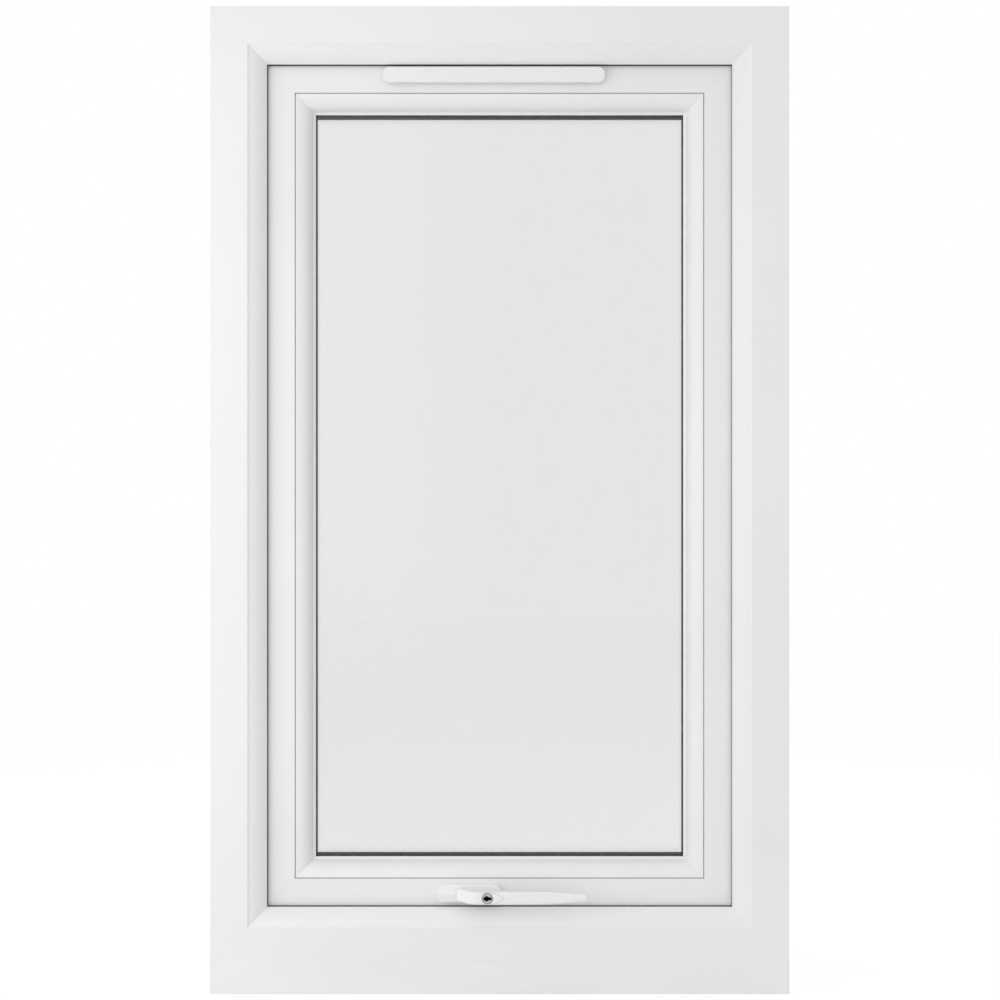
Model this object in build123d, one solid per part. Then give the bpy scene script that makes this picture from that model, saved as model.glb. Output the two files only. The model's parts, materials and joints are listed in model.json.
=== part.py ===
from build123d import *
import os
from math import acos, atan2, cos, hypot, pi, sin, tan

os.makedirs("parts", exist_ok=True)

# Top-hung plastic window, closed, seen from the room along +Y. All sizes are in millimetres.
# Profile sections are drawn in (u, d): u runs from the outer edge of the frame towards the
# middle of the glass, d runs from the room-side face of the frame towards the outdoors.

# Whole window
WINDOW_WIDTH = 610.0
WINDOW_HEIGHT = 1040.0
FRAME_DEPTH = 70.0
SASH_DEPTH = 70.0

# Plastic extrusions
WALL = 2.8
WEB = 1.6
EDGE_ROUND = 0.6
SCULPT_ROUND_SHARE = 0.97

# One overrun for all cuts
OVERRUN = 1.0

# Outer frame profile
FRAME_FACE = 58.5
FRAME_FLAT = 39.4
STEP_RUN = 1.8
STEP_DROP = 1.5
FRAME_SLOPE_ANGLE = 15.0
SCULPT_DEPTH = 14.2
SIGHT_LIP = 1.0
UPSTAND_EDGE = 2.8
REBATE_FLOOR = 39.0
REBATE_ROUND = 1.2
BACK_GROOVE_DEPTH = 2.0
BACK_GROOVE_WIDTH = 8.0
BACK_GROOVE_SHARES = (0.86, 0.66, 0.17)
FRAME_WEB_SHARES = (0.214, 0.726)
UPSTAND_CELL_RISE = 6.0

# Wall fixings through the jambs
FIXING_RADIUS = 4.0
FIXING_END = 150.0
FIXING_LINE = 30.0

# Rubber seals between frame and sash
SEAL_GAP = 3.0
SEAL_ROOT = 3.0
SEAL_GROOVE = 3.0
SEAL_LIP = 4.4
SEAL_INSET = 4.0
SEAL_CLEARANCE = 0.3
SEAL_FIT = 0.1
SEAL_LIP_ROUND = 1.2

# How far the room-side seal shows past the sight edge of the frame
SEAL_SHOW_LEFT = 1.0
SEAL_SHOW_RIGHT = 0.3
SEAL_SHOW_HEAD = 1.1
SEAL_SHOW_BOTTOM = 0.9

# Sash profile
STEM_GAP = 10.0
SASH_FACE = 38.6
GROOVE_DEPTH = 3.0
GROOVE_WIDTH = 24.0
HARDWARE_LINE = 55.0
FLANGE_LAP = 8.0
FLANGE_ROUND = 3.0
LEG_INSET = 0.9
LEG_EDGE_THICKNESS = 3.5
LEG_SLOPE_RUN = 17.0
LEG_SLOPE_ANGLE = 62.0
SASH_WEB_LINE = 39.4

# Glazing beads
BEAD_HEIGHT = 21.1
BEAD_JOINT = 0.8
BEAD_DEPTH = 17.0
BEAD_SHOULDER = 4.0
BEAD_DROP = 0.7
BEAD_SLOPE_ANGLE = 12.0
BEAD_NOSE = 2.6
BEAD_NOSE_EDGE = 2.6
BEAD_NOSE_FALL = 1.0
BEAD_WALL = 2.0
FOOT_START = 3.5
FOOT_WIDTH = 6.0
FOOT_DEPTH = 3.0
FOOT_CLEARANCE = 0.3

# Sealed glass unit
BEAD_GASKET = 3.0
BEAD_GASKET_HEIGHT = 6.0
PANE = 4.0
CAVITY = 20.0
LEG_GASKET = 3.0
LEG_GASKET_HEIGHT = 8.0
GASKET_TIP = 1.2
GLASS_CLEARANCE = 5.4
SEALANT_HEIGHT = 6.0
SPACER_HEIGHT = 7.0
PACKER_LENGTH = 100.0
PACKER_SHARE = 0.27

# Sill
SILL_SEAT = 30.2
SILL_LIP = 4.3
SILL_PROUD = 1.2
SILL_DEPTH = 150.0
SILL_NOSE_HEIGHT = 20.0
SILL_NOSE_ROUND = 4.0
SILL_WALL = 2.5
SILL_CAP = 2.5
SILL_WEB_SHARES = (0.31, 0.61)
DRIP_INSET = 30.0
DRIP_WIDTH = 5.0
DRIP_DEPTH = 3.0

# Drain caps on the outdoor face of the frame bottom
DRAIN_LENGTH = 34.0
DRAIN_HEIGHT = 11.0
DRAIN_THICKNESS = 4.0
DRAIN_HEIGHT_UP = 15.0
DRAIN_ROUND = 2.0
DRAIN_SHARE = 0.27

# Friction stays
ARM_LENGTH = 170.0
LINK_SHARE = 0.10176
STAY_TOP_MARGIN = 6.0
ARM_WIDTH = 18.0
LINK_WIDTH = 16.0
ARM_THICKNESS = 2.0
SASH_ARM_THICKNESS = 2.6
SASH_ARM_TAIL = 115.0
SASH_ARM_HEAD = 4.5
ARM_COLLAR = 1.4
PIN_RADIUS = 3.0
PIN_CLEARANCE = 0.05
PIN_FLOAT = 0.1
COLLAR_RADIUS = 4.6
RIVET_HEAD = 0.6
TRACK_WIDTH = 22.0
TRACK_BASE = 1.4
TRACK_SIDE = 1.2
TRACK_HEIGHT = 4.8
TRACK_LIP = 1.8
TRACK_TAIL = 18.0
TRACK_HEAD = 8.0
TRACK_CAP = 6.0
TRACK_CAP_RAMP = 3.0
SLIDER_LENGTH = 40.0
SLIDER_CLEARANCE = 0.3

# Countersunk screws of the stays
SCREW_RADIUS = 1.9
SCREW_HEAD_RADIUS = 3.6
SCREW_HEAD = 1.3
SCREW_LENGTH = 12.0
TRACK_SCREW_SHARES = (0.02, 0.2, 0.38, 0.74)
SASH_ARM_SCREW_SHARES = (0.05, 0.22, 0.62, 0.8)

# Handle
HANDLE_X = -32.5
HANDLE_PROJECTION = 36.5
BASE_LENGTH = 68.6
BASE_HEIGHT = 18.4
BASE_THICKNESS = 10.5
BASE_ROUND = 8.5
BASE_SIDE = 6.5
BASE_RIDGE_ROUND = 6.0
BASE_WALL = 2.0
BASE_PLATE = 1.5
BASE_PLATE_CLEARANCE = 0.2
LEVER_REACH = 125.6
LEVER_HEIGHT = 13.8
LEVER_THICKNESS = 12.5
LEVER_FLOAT = 0.3
LEVER_TAPER_START = 66.0
LEVER_TAPER_ROUND = 700.0
LEVER_TIP_ROUND = 3.9
LEVER_TIP_THICKNESS = 8.0
LEVER_TIP_SETBACK = 2.5
LEVER_END_ROUND = 5.0
LEVER_EDGE_ROUND = 3.0
NECK_LEFT = 13.0
NECK_RIGHT = 26.0
NECK_FRONT = 3.0
NECK_ROUND = 12.0
NECK_FOOT = 4.0
NECK_ARCH_RUN = 14.0
NECK_ARCH_ROUND = 15.0
SPIGOT_RADIUS = 6.2
SPIGOT_CLEARANCE = 0.08
SPIGOT_LENGTH = 8.0
SPINDLE = 7.0
SPINDLE_GRIP = 12.0
HANDLE_SCREW_SPACING = 43.0
HANDLE_SCREW_RADIUS = 2.4
HANDLE_SCREW_HEAD_RADIUS = 4.2
HANDLE_SCREW_HEAD = 2.8

# Lock button and key barrel in the lever
KEY_REACH = 19.9
BUTTON_RADIUS = 6.2
BUTTON_TIP = 17.2
BUTTON_DEPTH = 7.5
BUTTON_PROUD = 0.4
BUTTON_EDGE = 0.5
BUTTON_TRAVEL = 2.5
BUTTON_CLEARANCE = 0.15
BUTTON_FLOOR = 1.0
BARREL_RADIUS = 5.65
BARREL_PROUD = 0.3
BARREL_CLEARANCE = 0.05
KEYHOLE_RADIUS = 2.5
KEYHOLE_OFFSET = 0.9
KEYHOLE_LENGTH = 8.2
KEYHOLE_HEIGHT = 2.8
KEYHOLE_DEPTH = 5.0

# Espagnolette lock in the bottom rail
ROD_TRAVEL = 18.0
ROD_WIDTH = 14.0
ROD_THICKNESS = 2.3
ROD_CLEARANCE = 0.2
ROD_HALF_LENGTH = 205.0
PINION_TEETH = 14
PINION_THICKNESS = 8.0
PRESSURE_ANGLE = pi / 9
ADDENDUM_SHARE = 0.8
DEDENDUM_SHARE = 1.1
TOOTH_BACKLASH = 0.3
HUB_RADIUS = 7.0
HUB_CLEARANCE = 0.06
GEARBOX_LENGTH = 70.0
GEARBOX_PLATE = 2.0
GEARBOX_GAP = 0.2
GEARBOX_RISE = 10.0
GEARBOX_BLOCK = 16.0
GEARBOX_FIT = 0.3
RACK_LEFT_PITCHES = 5
RACK_RIGHT_PITCHES = 2
GUIDE_SPACING = 170.0
GUIDE_LENGTH = 22.0
GUIDE_STRAP = 1.2
GUIDE_LEG = 3.0
CAM_SPACING = 300.0
CAM_STEM_RADIUS = 3.5
CAM_STEM = 4.5
CAM_HEAD_RADIUS = 5.5
CAM_HEAD = 2.8
KEEP_LENGTH = 46.0
KEEP_WIDTH = 20.0
KEEP_PLATE = 2.0
KEEP_WALL = 2.4
KEEP_HOOK_LENGTH = 16.0
KEEP_HOOK_REACH = 3.0
KEEP_CLEARANCE = 0.8

# Night vent on the top rail
VENT_X = -5.9
VENT_LENGTH = 235.3
VENT_HEIGHT = 16.9
VENT_TOP_GAP = 2.8
VENT_ROUND = 7.0
VENT_EDGE_ROUND = 1.5
FLAP_THICKNESS = 6.2
FLAP_FRONT = 1.5
FLAP_GAP = 0.3
VENT_PLATE = 2.5
VENT_PLATE_INSET = 1.5
VENT_PLATE_FOOT = 4.8
VENT_PIVOT_UP = 4.2
VENT_PIVOT_RADIUS = 1.2
VENT_PIVOT_CLEARANCE = 0.06
VENT_EAR_RADIUS = 2.2
VENT_EAR_WIDTH = 6.0
VENT_EAR_INSET = 24.0
VENT_NOTCH_WIDTH = 10.0
VENT_NOTCH_UP = 8.6
VENT_SLOT_LENGTH = 88.0
VENT_SLOT_HEIGHT = 7.0
VENT_SLOT_SPACING = 100.0
CANOPY_HEIGHT = 27.0
CANOPY_DEPTH = 14.0
CANOPY_WALL = 2.0
CANOPY_TOP = 3.0
CANOPY_SLOPE_FALL = 9.0
CANOPY_LIFT = 5.0

# Places that follow from the sizes above
FRAME_HEIGHT = WINDOW_HEIGHT - SILL_SEAT
MID_HEIGHT = SILL_SEAT + FRAME_HEIGHT / 2
FACE_Y = -FRAME_DEPTH / 2
UPSTAND_BACK = SCULPT_DEPTH + UPSTAND_EDGE
SETBACK = UPSTAND_BACK + SEAL_GAP
SASH_BACK = SETBACK + SASH_DEPTH
FLANGE_FACE = FRAME_DEPTH + SEAL_GAP
STEM_EDGE = REBATE_FLOOR + STEM_GAP
GROOVE_FLOOR = STEM_EDGE + GROOVE_DEPTH
FLANGE_EDGE = REBATE_FLOOR - FLANGE_LAP
BEAD_LINE = STEM_EDGE + SASH_FACE
BEAD_START = BEAD_LINE + BEAD_JOINT
BEAD_SIGHT = BEAD_LINE + BEAD_HEIGHT
BEAD_BACK = SETBACK + BEAD_DEPTH
LEG_EDGE = BEAD_SIGHT - LEG_INSET
GLASS_EDGE = BEAD_LINE + GLASS_CLEARANCE
GLASS_FRONT = BEAD_BACK + BEAD_GASKET
CAVITY_FRONT = GLASS_FRONT + PANE
CAVITY_BACK = CAVITY_FRONT + CAVITY
GLASS_BACK = CAVITY_BACK + PANE
LEG_FACE = GLASS_BACK + LEG_GASKET
FRAME_SEAL_U = FRAME_FACE - SEAL_INSET
SASH_SEAL_U = FLANGE_EDGE + SEAL_INSET
LEG_SEAL_U = LEG_EDGE - LEG_GASKET_HEIGHT + SEAL_ROOT


def deep(d):
    return FACE_Y + d


def left(u):
    return u - WINDOW_WIDTH / 2


def low(u):
    return SILL_SEAT + u


def high(u):
    return WINDOW_HEIGHT - u


def profile(*corners):
    """Closed section; a corner with a third value is rounded to that radius."""
    points = [corner[:2] for corner in corners]
    radii = [corner[2] if len(corner) > 2 else 0 for corner in corners]
    return make_face(FilletPolyline(*points, radius=radii, close=True))


def swell(start, end, angle):
    """Corner and radius of the arc that leaves start at an angle and reaches end."""
    run = end[0] - start[0]
    fall = end[1] - start[1]
    slope = angle * pi / 180
    half = atan2(fall, run) - slope
    reach = hypot(run, fall) / 2 / cos(half)
    radius = abs(reach / tan(half)) * SCULPT_ROUND_SHARE
    return (start[0] + reach * cos(slope), start[1] + reach * sin(slope), radius)


def notch(u, d, width, depth):
    """Groove corners in a face of constant d, in the order of falling u."""
    return (
        (u + width / 2, d),
        (u + width / 2, d + depth),
        (u - width / 2, d + depth),
        (u - width / 2, d),
    )


SIDES = {
    "bottom": (Plane((0, FACE_Y, SILL_SEAT), (0, 0, 1), (-1, 0, 0)), WINDOW_WIDTH),
    "top": (Plane((0, FACE_Y, WINDOW_HEIGHT), (0, 0, -1), (1, 0, 0)), WINDOW_WIDTH),
    "left": (Plane((left(0), FACE_Y, MID_HEIGHT), (1, 0, 0), (0, 0, 1)), FRAME_HEIGHT),
    "right": (Plane((-left(0), FACE_Y, MID_HEIGHT), (-1, 0, 0), (0, 0, -1)), FRAME_HEIGHT),
}


def member(section, side):
    """One side of a mitred rectangle with this section."""
    plane, span = SIDES[side]
    box = section.bounding_box()
    near = box.min.X
    far = box.max.X
    mitre = make_face(
        Polyline(
            (near, near - span / 2),
            (far, far - span / 2),
            (far, span / 2 - far),
            (near, span / 2 - near),
            close=True,
        )
    )
    wedge = extrude(Plane.XZ * mitre, SASH_BACK + OVERRUN, both=True)
    bar = extrude(section, span / 2 + OVERRUN, both=True)
    return plane.location * (bar & wedge).solid()


def ring(section):
    """The four mitred sides welded to one closed loop."""
    bottom, top, first, second = [member(section, side) for side in SIDES]
    return bottom.fuse(first, second).fuse(top).solid()


def block(x, y, z):
    size = [abs(pair[1] - pair[0]) for pair in (x, y, z)]
    return Pos(sum(x) / 2, sum(y) / 2, sum(z) / 2) * Box(*size)


def bar_x(radius, u_from, u_to, d, z):
    """Round bar along X on the left side of the window, between two u."""
    start = min(u_from, u_to)
    plane = Plane((left(start), deep(d), z), (0, 1, 0), (1, 0, 0))
    return plane.location * Solid.make_cylinder(radius, abs(u_to - u_from))


def bar_y(radius, x, z, d_from, d_to):
    """Round bar along Y between two depths."""
    plane = Plane((x, deep(min(d_from, d_to)), z), (1, 0, 0), (0, 1, 0))
    return plane.location * Solid.make_cylinder(radius, abs(d_to - d_from))


def bar_z(radius, x, d, z_from, z_to):
    return Pos(x, deep(d), min(z_from, z_to)) * Solid.make_cylinder(radius, abs(z_to - z_from))


def front(sketch, x, z, d_from, d_to):
    """A sketch in the plane of the window, given depth between two d."""
    plane = Plane((x, deep(d_to), z), (1, 0, 0), (0, -1, 0))
    return plane.location * extrude(sketch, abs(d_to - d_from))


def along_x(section, x_from, x_to):
    """A section in (d, z) drawn out along X."""
    plane = Plane((x_from, FACE_Y, 0), (0, 1, 0), (1, 0, 0))
    return plane.location * extrude(section, x_to - x_from)


def facing(plate, u_from, u_to, z):
    """A plate in (d, z) on the left side of the window, thick from one u to another."""
    plane = Plane((left(u_from), deep(HARDWARE_LINE), z), (0, 1, 0), (1, 0, 0))
    return plane.location * extrude(plate, u_to - u_from)


def twin(piece):
    return mirror(piece, about=Plane.YZ)


def save(node, *pieces):
    solids = [solid for piece in pieces for solid in piece.solids()]
    export_step(solids[0] if len(solids) == 1 else Compound(children=solids), f"parts/{node}.step")


# Frame profile: flat band, small step, rounded slope to the sight line, upstand and rebate
step_foot = (FRAME_FLAT + STEP_RUN, STEP_DROP)
slope_end = (FRAME_FACE - SIGHT_LIP, SCULPT_DEPTH - SIGHT_LIP)
back_grooves = [
    corner
    for share in BACK_GROOVE_SHARES
    for corner in (
        (0, share * FRAME_DEPTH + BACK_GROOVE_WIDTH / 2),
        (BACK_GROOVE_DEPTH, share * FRAME_DEPTH + BACK_GROOVE_WIDTH / 2),
        (BACK_GROOVE_DEPTH, share * FRAME_DEPTH - BACK_GROOVE_WIDTH / 2),
        (0, share * FRAME_DEPTH - BACK_GROOVE_WIDTH / 2),
    )
]
frame_section = profile(
    (0, 0, EDGE_ROUND),
    (FRAME_FLAT, 0, EDGE_ROUND),
    step_foot,
    swell(step_foot, slope_end, FRAME_SLOPE_ANGLE),
    slope_end,
    (FRAME_FACE, SCULPT_DEPTH, SIGHT_LIP),
    (FRAME_FACE, UPSTAND_BACK, EDGE_ROUND),
    *notch(FRAME_SEAL_U, UPSTAND_BACK, SEAL_ROOT, -SEAL_GROOVE),
    (REBATE_FLOOR, UPSTAND_BACK),
    (REBATE_FLOOR, FRAME_DEPTH, REBATE_ROUND),
    (0, FRAME_DEPTH, EDGE_ROUND),
    *back_grooves,
)
cell_near = BACK_GROOVE_DEPTH + WALL
cell_far = REBATE_FLOOR - WALL
web_lines = [share * FRAME_DEPTH for share in FRAME_WEB_SHARES]
cell_starts = [WALL] + [line + WEB / 2 for line in web_lines]
cell_ends = [line - WEB / 2 for line in web_lines] + [FRAME_DEPTH - WALL]
for start, end in zip(cell_starts, cell_ends):
    frame_section -= profile((cell_near, start), (cell_far, start), (cell_far, end), (cell_near, end))
upstand_cell = FRAME_SEAL_U - SEAL_ROOT / 2 - WEB
frame_section -= profile(
    (cell_far + WEB, STEP_DROP + WALL),
    (upstand_cell, STEP_DROP + WALL + UPSTAND_CELL_RISE),
    (upstand_cell, UPSTAND_BACK - WALL),
    (cell_far + WEB, UPSTAND_BACK - WALL),
)
frame_section = frame_section.face()

# Sash profile: room-side face, bead groove, glazing rebate, outdoor leg, flange, hardware groove
leg_foot = (LEG_EDGE, LEG_FACE + LEG_EDGE_THICKNESS)
leg_head = (LEG_EDGE - LEG_SLOPE_RUN, SASH_BACK)
groove_near = HARDWARE_LINE - GROOVE_WIDTH / 2
groove_far = HARDWARE_LINE + GROOVE_WIDTH / 2
sash_section = profile(
    (STEM_EDGE, SETBACK, EDGE_ROUND),
    (BEAD_LINE, SETBACK, EDGE_ROUND),
    (BEAD_LINE, SETBACK + FOOT_START),
    (BEAD_LINE - FOOT_DEPTH, SETBACK + FOOT_START),
    (BEAD_LINE - FOOT_DEPTH, SETBACK + FOOT_START + FOOT_WIDTH),
    (BEAD_LINE, SETBACK + FOOT_START + FOOT_WIDTH),
    (BEAD_LINE, LEG_FACE),
    *reversed(notch(LEG_SEAL_U, LEG_FACE, SEAL_ROOT, SEAL_GROOVE)),
    (LEG_EDGE, LEG_FACE, EDGE_ROUND),
    leg_foot,
    swell(leg_foot, leg_head, 180 - LEG_SLOPE_ANGLE),
    leg_head,
    (FLANGE_EDGE, SASH_BACK, FLANGE_ROUND),
    (FLANGE_EDGE, FLANGE_FACE, EDGE_ROUND),
    *reversed(notch(SASH_SEAL_U, FLANGE_FACE, SEAL_ROOT, SEAL_GROOVE)),
    (STEM_EDGE, FLANGE_FACE),
    (STEM_EDGE, groove_far),
    (GROOVE_FLOOR, groove_far),
    (GROOVE_FLOOR, groove_near),
    (STEM_EDGE, groove_near),
)
room_cell_end = BEAD_LINE - FOOT_DEPTH - WALL
sash_section -= profile(
    (STEM_EDGE + WALL, SETBACK + WALL),
    (room_cell_end, SETBACK + WALL),
    (room_cell_end, SASH_WEB_LINE - WEB / 2),
    (STEM_EDGE + WALL, SASH_WEB_LINE - WEB / 2),
)
sash_section -= profile(
    (GROOVE_FLOOR + WALL, SASH_WEB_LINE + WEB / 2),
    (BEAD_LINE - WALL, SASH_WEB_LINE + WEB / 2),
    (BEAD_LINE - WALL, FLANGE_FACE - WEB),
    (GROOVE_FLOOR + WALL, FLANGE_FACE - WEB),
)
outer_cell = FLANGE_FACE + SEAL_GROOVE + WEB
sash_section -= profile(
    (FLANGE_EDGE + WALL, outer_cell),
    (leg_head[0], outer_cell),
    (BEAD_LINE, SASH_BACK - WALL),
    (FLANGE_EDGE + WALL + FLANGE_ROUND / 2, SASH_BACK - WALL),
)
sash_section = sash_section.face()

# Glazing bead: flat shoulder, rounded fall to a small nose, foot that clips into the sash
shoulder = (BEAD_START + BEAD_SHOULDER, SETBACK + BEAD_DROP)
nose = (BEAD_SIGHT - BEAD_NOSE, BEAD_BACK - BEAD_NOSE_EDGE - BEAD_NOSE_FALL)
foot_near = SETBACK + FOOT_START + FOOT_CLEARANCE
foot_far = SETBACK + FOOT_START + FOOT_WIDTH - FOOT_CLEARANCE
foot_end = BEAD_LINE - FOOT_DEPTH + FOOT_CLEARANCE
bead_section = profile(
    (BEAD_START, SETBACK, EDGE_ROUND),
    shoulder,
    swell(shoulder, nose, BEAD_SLOPE_ANGLE),
    nose,
    (BEAD_SIGHT, BEAD_BACK - BEAD_NOSE_EDGE, EDGE_ROUND),
    (BEAD_SIGHT, BEAD_BACK, EDGE_ROUND),
    (BEAD_LINE, BEAD_BACK),
    (BEAD_LINE, foot_far),
    (foot_end, foot_far),
    (foot_end, foot_near),
    (BEAD_START, foot_near),
)
bead_cell = SETBACK + FOOT_START + BEAD_WALL / 2
bead_section -= profile(
    (BEAD_START + BEAD_WALL, bead_cell),
    (BEAD_START + BEAD_SHOULDER, bead_cell),
    (nose[0] - BEAD_WALL * 2, BEAD_BACK - BEAD_WALL * 2),
    (nose[0] - BEAD_WALL * 2, BEAD_BACK - BEAD_WALL),
    (BEAD_START + BEAD_WALL, BEAD_BACK - BEAD_WALL),
)
bead_section = bead_section.face()


def seal_section(u, d, gap, direction):
    """Root in its groove and a rounded lip that bridges most of the gap."""
    root = SEAL_ROOT / 2 - SEAL_FIT
    lip = SEAL_LIP / 2
    bottom = d - direction * (SEAL_GROOVE - SEAL_FIT)
    crown = d + direction * (gap - SEAL_CLEARANCE)
    return profile(
        (u - root, bottom),
        (u + root, bottom),
        (u + root, d),
        (u + lip, d),
        (u + lip, crown, lip * 2 / 3),
        (u - lip, crown, lip * 2 / 3),
        (u - lip, d),
        (u - root, d),
    )


# Wall fixing holes, one pair through each jamb
fixings = [
    bar_x(FIXING_RADIUS, -OVERRUN, REBATE_FLOOR + OVERRUN, FIXING_LINE, z)
    for z in (SILL_SEAT + FIXING_END, WINDOW_HEIGHT - FIXING_END)
]

# Friction stay pins, on one vertical line in each side gap; the short link rides a slider
LINK_LENGTH = ARM_LENGTH * LINK_SHARE
top_pin = high(STEM_EDGE) - STAY_TOP_MARGIN
middle_pin = top_pin - ARM_LENGTH
frame_pin = middle_pin - ARM_LENGTH
slider_pin = top_pin - LINK_LENGTH
sash_arm_u = GROOVE_FLOOR - SASH_ARM_THICKNESS
arm_high_u = sash_arm_u - ARM_COLLAR
arm_low_u = arm_high_u - ARM_THICKNESS
track_bottom = frame_pin - TRACK_TAIL
track_top = top_pin + TRACK_HEAD
sash_arm_bottom = middle_pin - SASH_ARM_TAIL
sash_arm_top = top_pin + SASH_ARM_HEAD


def countersunk(u_face, z, inward):
    """Screw along X whose flat head lies in a face at u; inward is +1 towards the glass."""
    direction = (inward, 0, 0)
    plane = Plane((left(u_face), deep(HARDWARE_LINE), z), (0, 1, 0), direction)
    head = Solid.make_cone(SCREW_HEAD_RADIUS, SCREW_RADIUS, SCREW_HEAD)
    shank = Solid.make_cylinder(SCREW_RADIUS, SCREW_LENGTH)
    return plane.location * head.fuse(shank).solid()


track_u = REBATE_FLOOR + TRACK_BASE
track_screws = [
    countersunk(track_u, track_bottom + share * (track_top - track_bottom), -1)
    for share in TRACK_SCREW_SHARES
]
sash_arm_screws = [
    countersunk(sash_arm_u, sash_arm_bottom + share * (sash_arm_top - sash_arm_bottom), 1)
    for share in SASH_ARM_SCREW_SHARES
]

# Outer frame
jamb = member(frame_section, "left")
for tool in fixings + track_screws:
    jamb = jamb.cut(tool).solid()
save("frame_jamb_left", jamb)
save("frame_jamb_right", twin(jamb))
save("frame_head", member(frame_section, "top"))
save("frame_bottom", member(frame_section, "bottom"))

# Frame seal: root ring in its groove, and a flat lip that shows as a thin dark line round the sash
root = SEAL_ROOT / 2 - SEAL_FIT
seal_root = ring(
    profile(
        (FRAME_SEAL_U - root, UPSTAND_BACK - SEAL_GROOVE + SEAL_FIT),
        (FRAME_SEAL_U + root, UPSTAND_BACK - SEAL_GROOVE + SEAL_FIT),
        (FRAME_SEAL_U + root, UPSTAND_BACK + SEAL_FIT),
        (FRAME_SEAL_U - root, UPSTAND_BACK + SEAL_FIT),
    )
)
lip_edge = FRAME_SEAL_U - SEAL_LIP / 2
lip_depth = (deep(UPSTAND_BACK), deep(SETBACK - SEAL_CLEARANCE))
seal_lip = block((left(lip_edge), -left(lip_edge)), lip_depth, (low(lip_edge), high(lip_edge)))
seal_lip -= block(
    (left(FRAME_FACE + SEAL_SHOW_LEFT), -left(FRAME_FACE + SEAL_SHOW_RIGHT)),
    (lip_depth[0] - OVERRUN, lip_depth[1] + OVERRUN),
    (low(FRAME_FACE + SEAL_SHOW_BOTTOM), high(FRAME_FACE + SEAL_SHOW_HEAD)),
)
seal_lip = fillet(seal_lip.faces().sort_by(Axis.Y)[-1].edges(), SEAL_LIP_ROUND)
save("frame_seal", seal_lip.solid().fuse(seal_root).solid())

# Sill: seat under the frame, lip in front of it, slope and nose outdoors
sill_front = -SILL_PROUD
sill_nose = sill_front + SILL_DEPTH
drip_near = sill_nose - DRIP_INSET
drip_far = drip_near + DRIP_WIDTH
sill_outline = (
    (sill_front, 0, EDGE_ROUND),
    (sill_front, SILL_SEAT + SILL_LIP, EDGE_ROUND),
    (0, SILL_SEAT + SILL_LIP),
    (0, SILL_SEAT),
    (FRAME_DEPTH + SILL_WALL, SILL_SEAT, EDGE_ROUND),
    (sill_nose, SILL_NOSE_HEIGHT, SILL_NOSE_ROUND),
    (sill_nose, 0, SILL_NOSE_ROUND),
    (drip_far, 0),
    (drip_far, DRIP_DEPTH),
    (drip_near, DRIP_DEPTH),
    (drip_near, 0),
)
sill_section = profile(*sill_outline)
slope_run = sill_nose - FRAME_DEPTH - SILL_WALL
slope_fall = SILL_SEAT - SILL_NOSE_HEIGHT


def sill_roof(d):
    """Height of the underside of the sill's top wall."""
    past = max(0, d - FRAME_DEPTH - SILL_WALL)
    return SILL_SEAT - SILL_WALL - past / slope_run * slope_fall


cell_lines = [share * SILL_DEPTH for share in SILL_WEB_SHARES]
sill_starts = [0 + SILL_WALL] + [line + WEB / 2 for line in cell_lines] + [drip_far + SILL_WALL]
sill_ends = [line - WEB / 2 for line in cell_lines] + [drip_near - SILL_WALL, sill_nose - SILL_NOSE_ROUND]
for start, end in zip(sill_starts, sill_ends):
    corners = [(start, SILL_WALL), (end, SILL_WALL), (end, sill_roof(end)), (start, sill_roof(start))]
    bend = FRAME_DEPTH + SILL_WALL
    if start < bend < end:
        corners.insert(3, (bend, sill_roof(bend)))
    sill_section -= profile(*corners)
sill_half = WINDOW_WIDTH / 2 - SILL_CAP
save("sill", along_x(sill_section.face(), -sill_half, sill_half))
cap = along_x(profile(*sill_outline), -WINDOW_WIDTH / 2, -sill_half)
save("sill_cap_left", cap)
save("sill_cap_right", twin(cap))

# Drain caps: small hoods over the drain slots
drain_low = low(DRAIN_HEIGHT_UP)
drain_section = profile(
    (FRAME_DEPTH, drain_low),
    (FRAME_DEPTH + DRAIN_THICKNESS, drain_low, EDGE_ROUND),
    (FRAME_DEPTH + DRAIN_THICKNESS, drain_low + DRAIN_HEIGHT / 2, DRAIN_ROUND),
    (FRAME_DEPTH + DRAIN_ROUND, drain_low + DRAIN_HEIGHT, DRAIN_ROUND / 2),
    (FRAME_DEPTH, drain_low + DRAIN_HEIGHT),
)
drain_x = DRAIN_SHARE * WINDOW_WIDTH
drain = along_x(drain_section, drain_x - DRAIN_LENGTH / 2, drain_x + DRAIN_LENGTH / 2)
save("drain_caps", drain, twin(drain))

# Stay track: folded channel with turned-in lips, screwed to the rebate floor
track_near = HARDWARE_LINE - TRACK_WIDTH / 2
track_far = HARDWARE_LINE + TRACK_WIDTH / 2
lip_near = track_near + TRACK_SIDE + TRACK_LIP
lip_far = track_far - TRACK_SIDE - TRACK_LIP
rail_u = REBATE_FLOOR + TRACK_HEIGHT
lip_u = rail_u - TRACK_SIDE
track_section = profile(
    (REBATE_FLOOR, track_near),
    (rail_u, track_near),
    (rail_u, lip_near),
    (lip_u, lip_near),
    (lip_u, track_near + TRACK_SIDE),
    (track_u, track_near + TRACK_SIDE),
    (track_u, track_far - TRACK_SIDE),
    (lip_u, track_far - TRACK_SIDE),
    (lip_u, lip_far),
    (rail_u, lip_far),
    (rail_u, track_far),
    (REBATE_FLOOR, track_far),
)


def upright(section, z_from, z_to):
    """A section in (u, d) on the left side, drawn up along Z."""
    return Pos(left(0), FACE_Y, z_from) * extrude(section, z_to - z_from)


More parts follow.
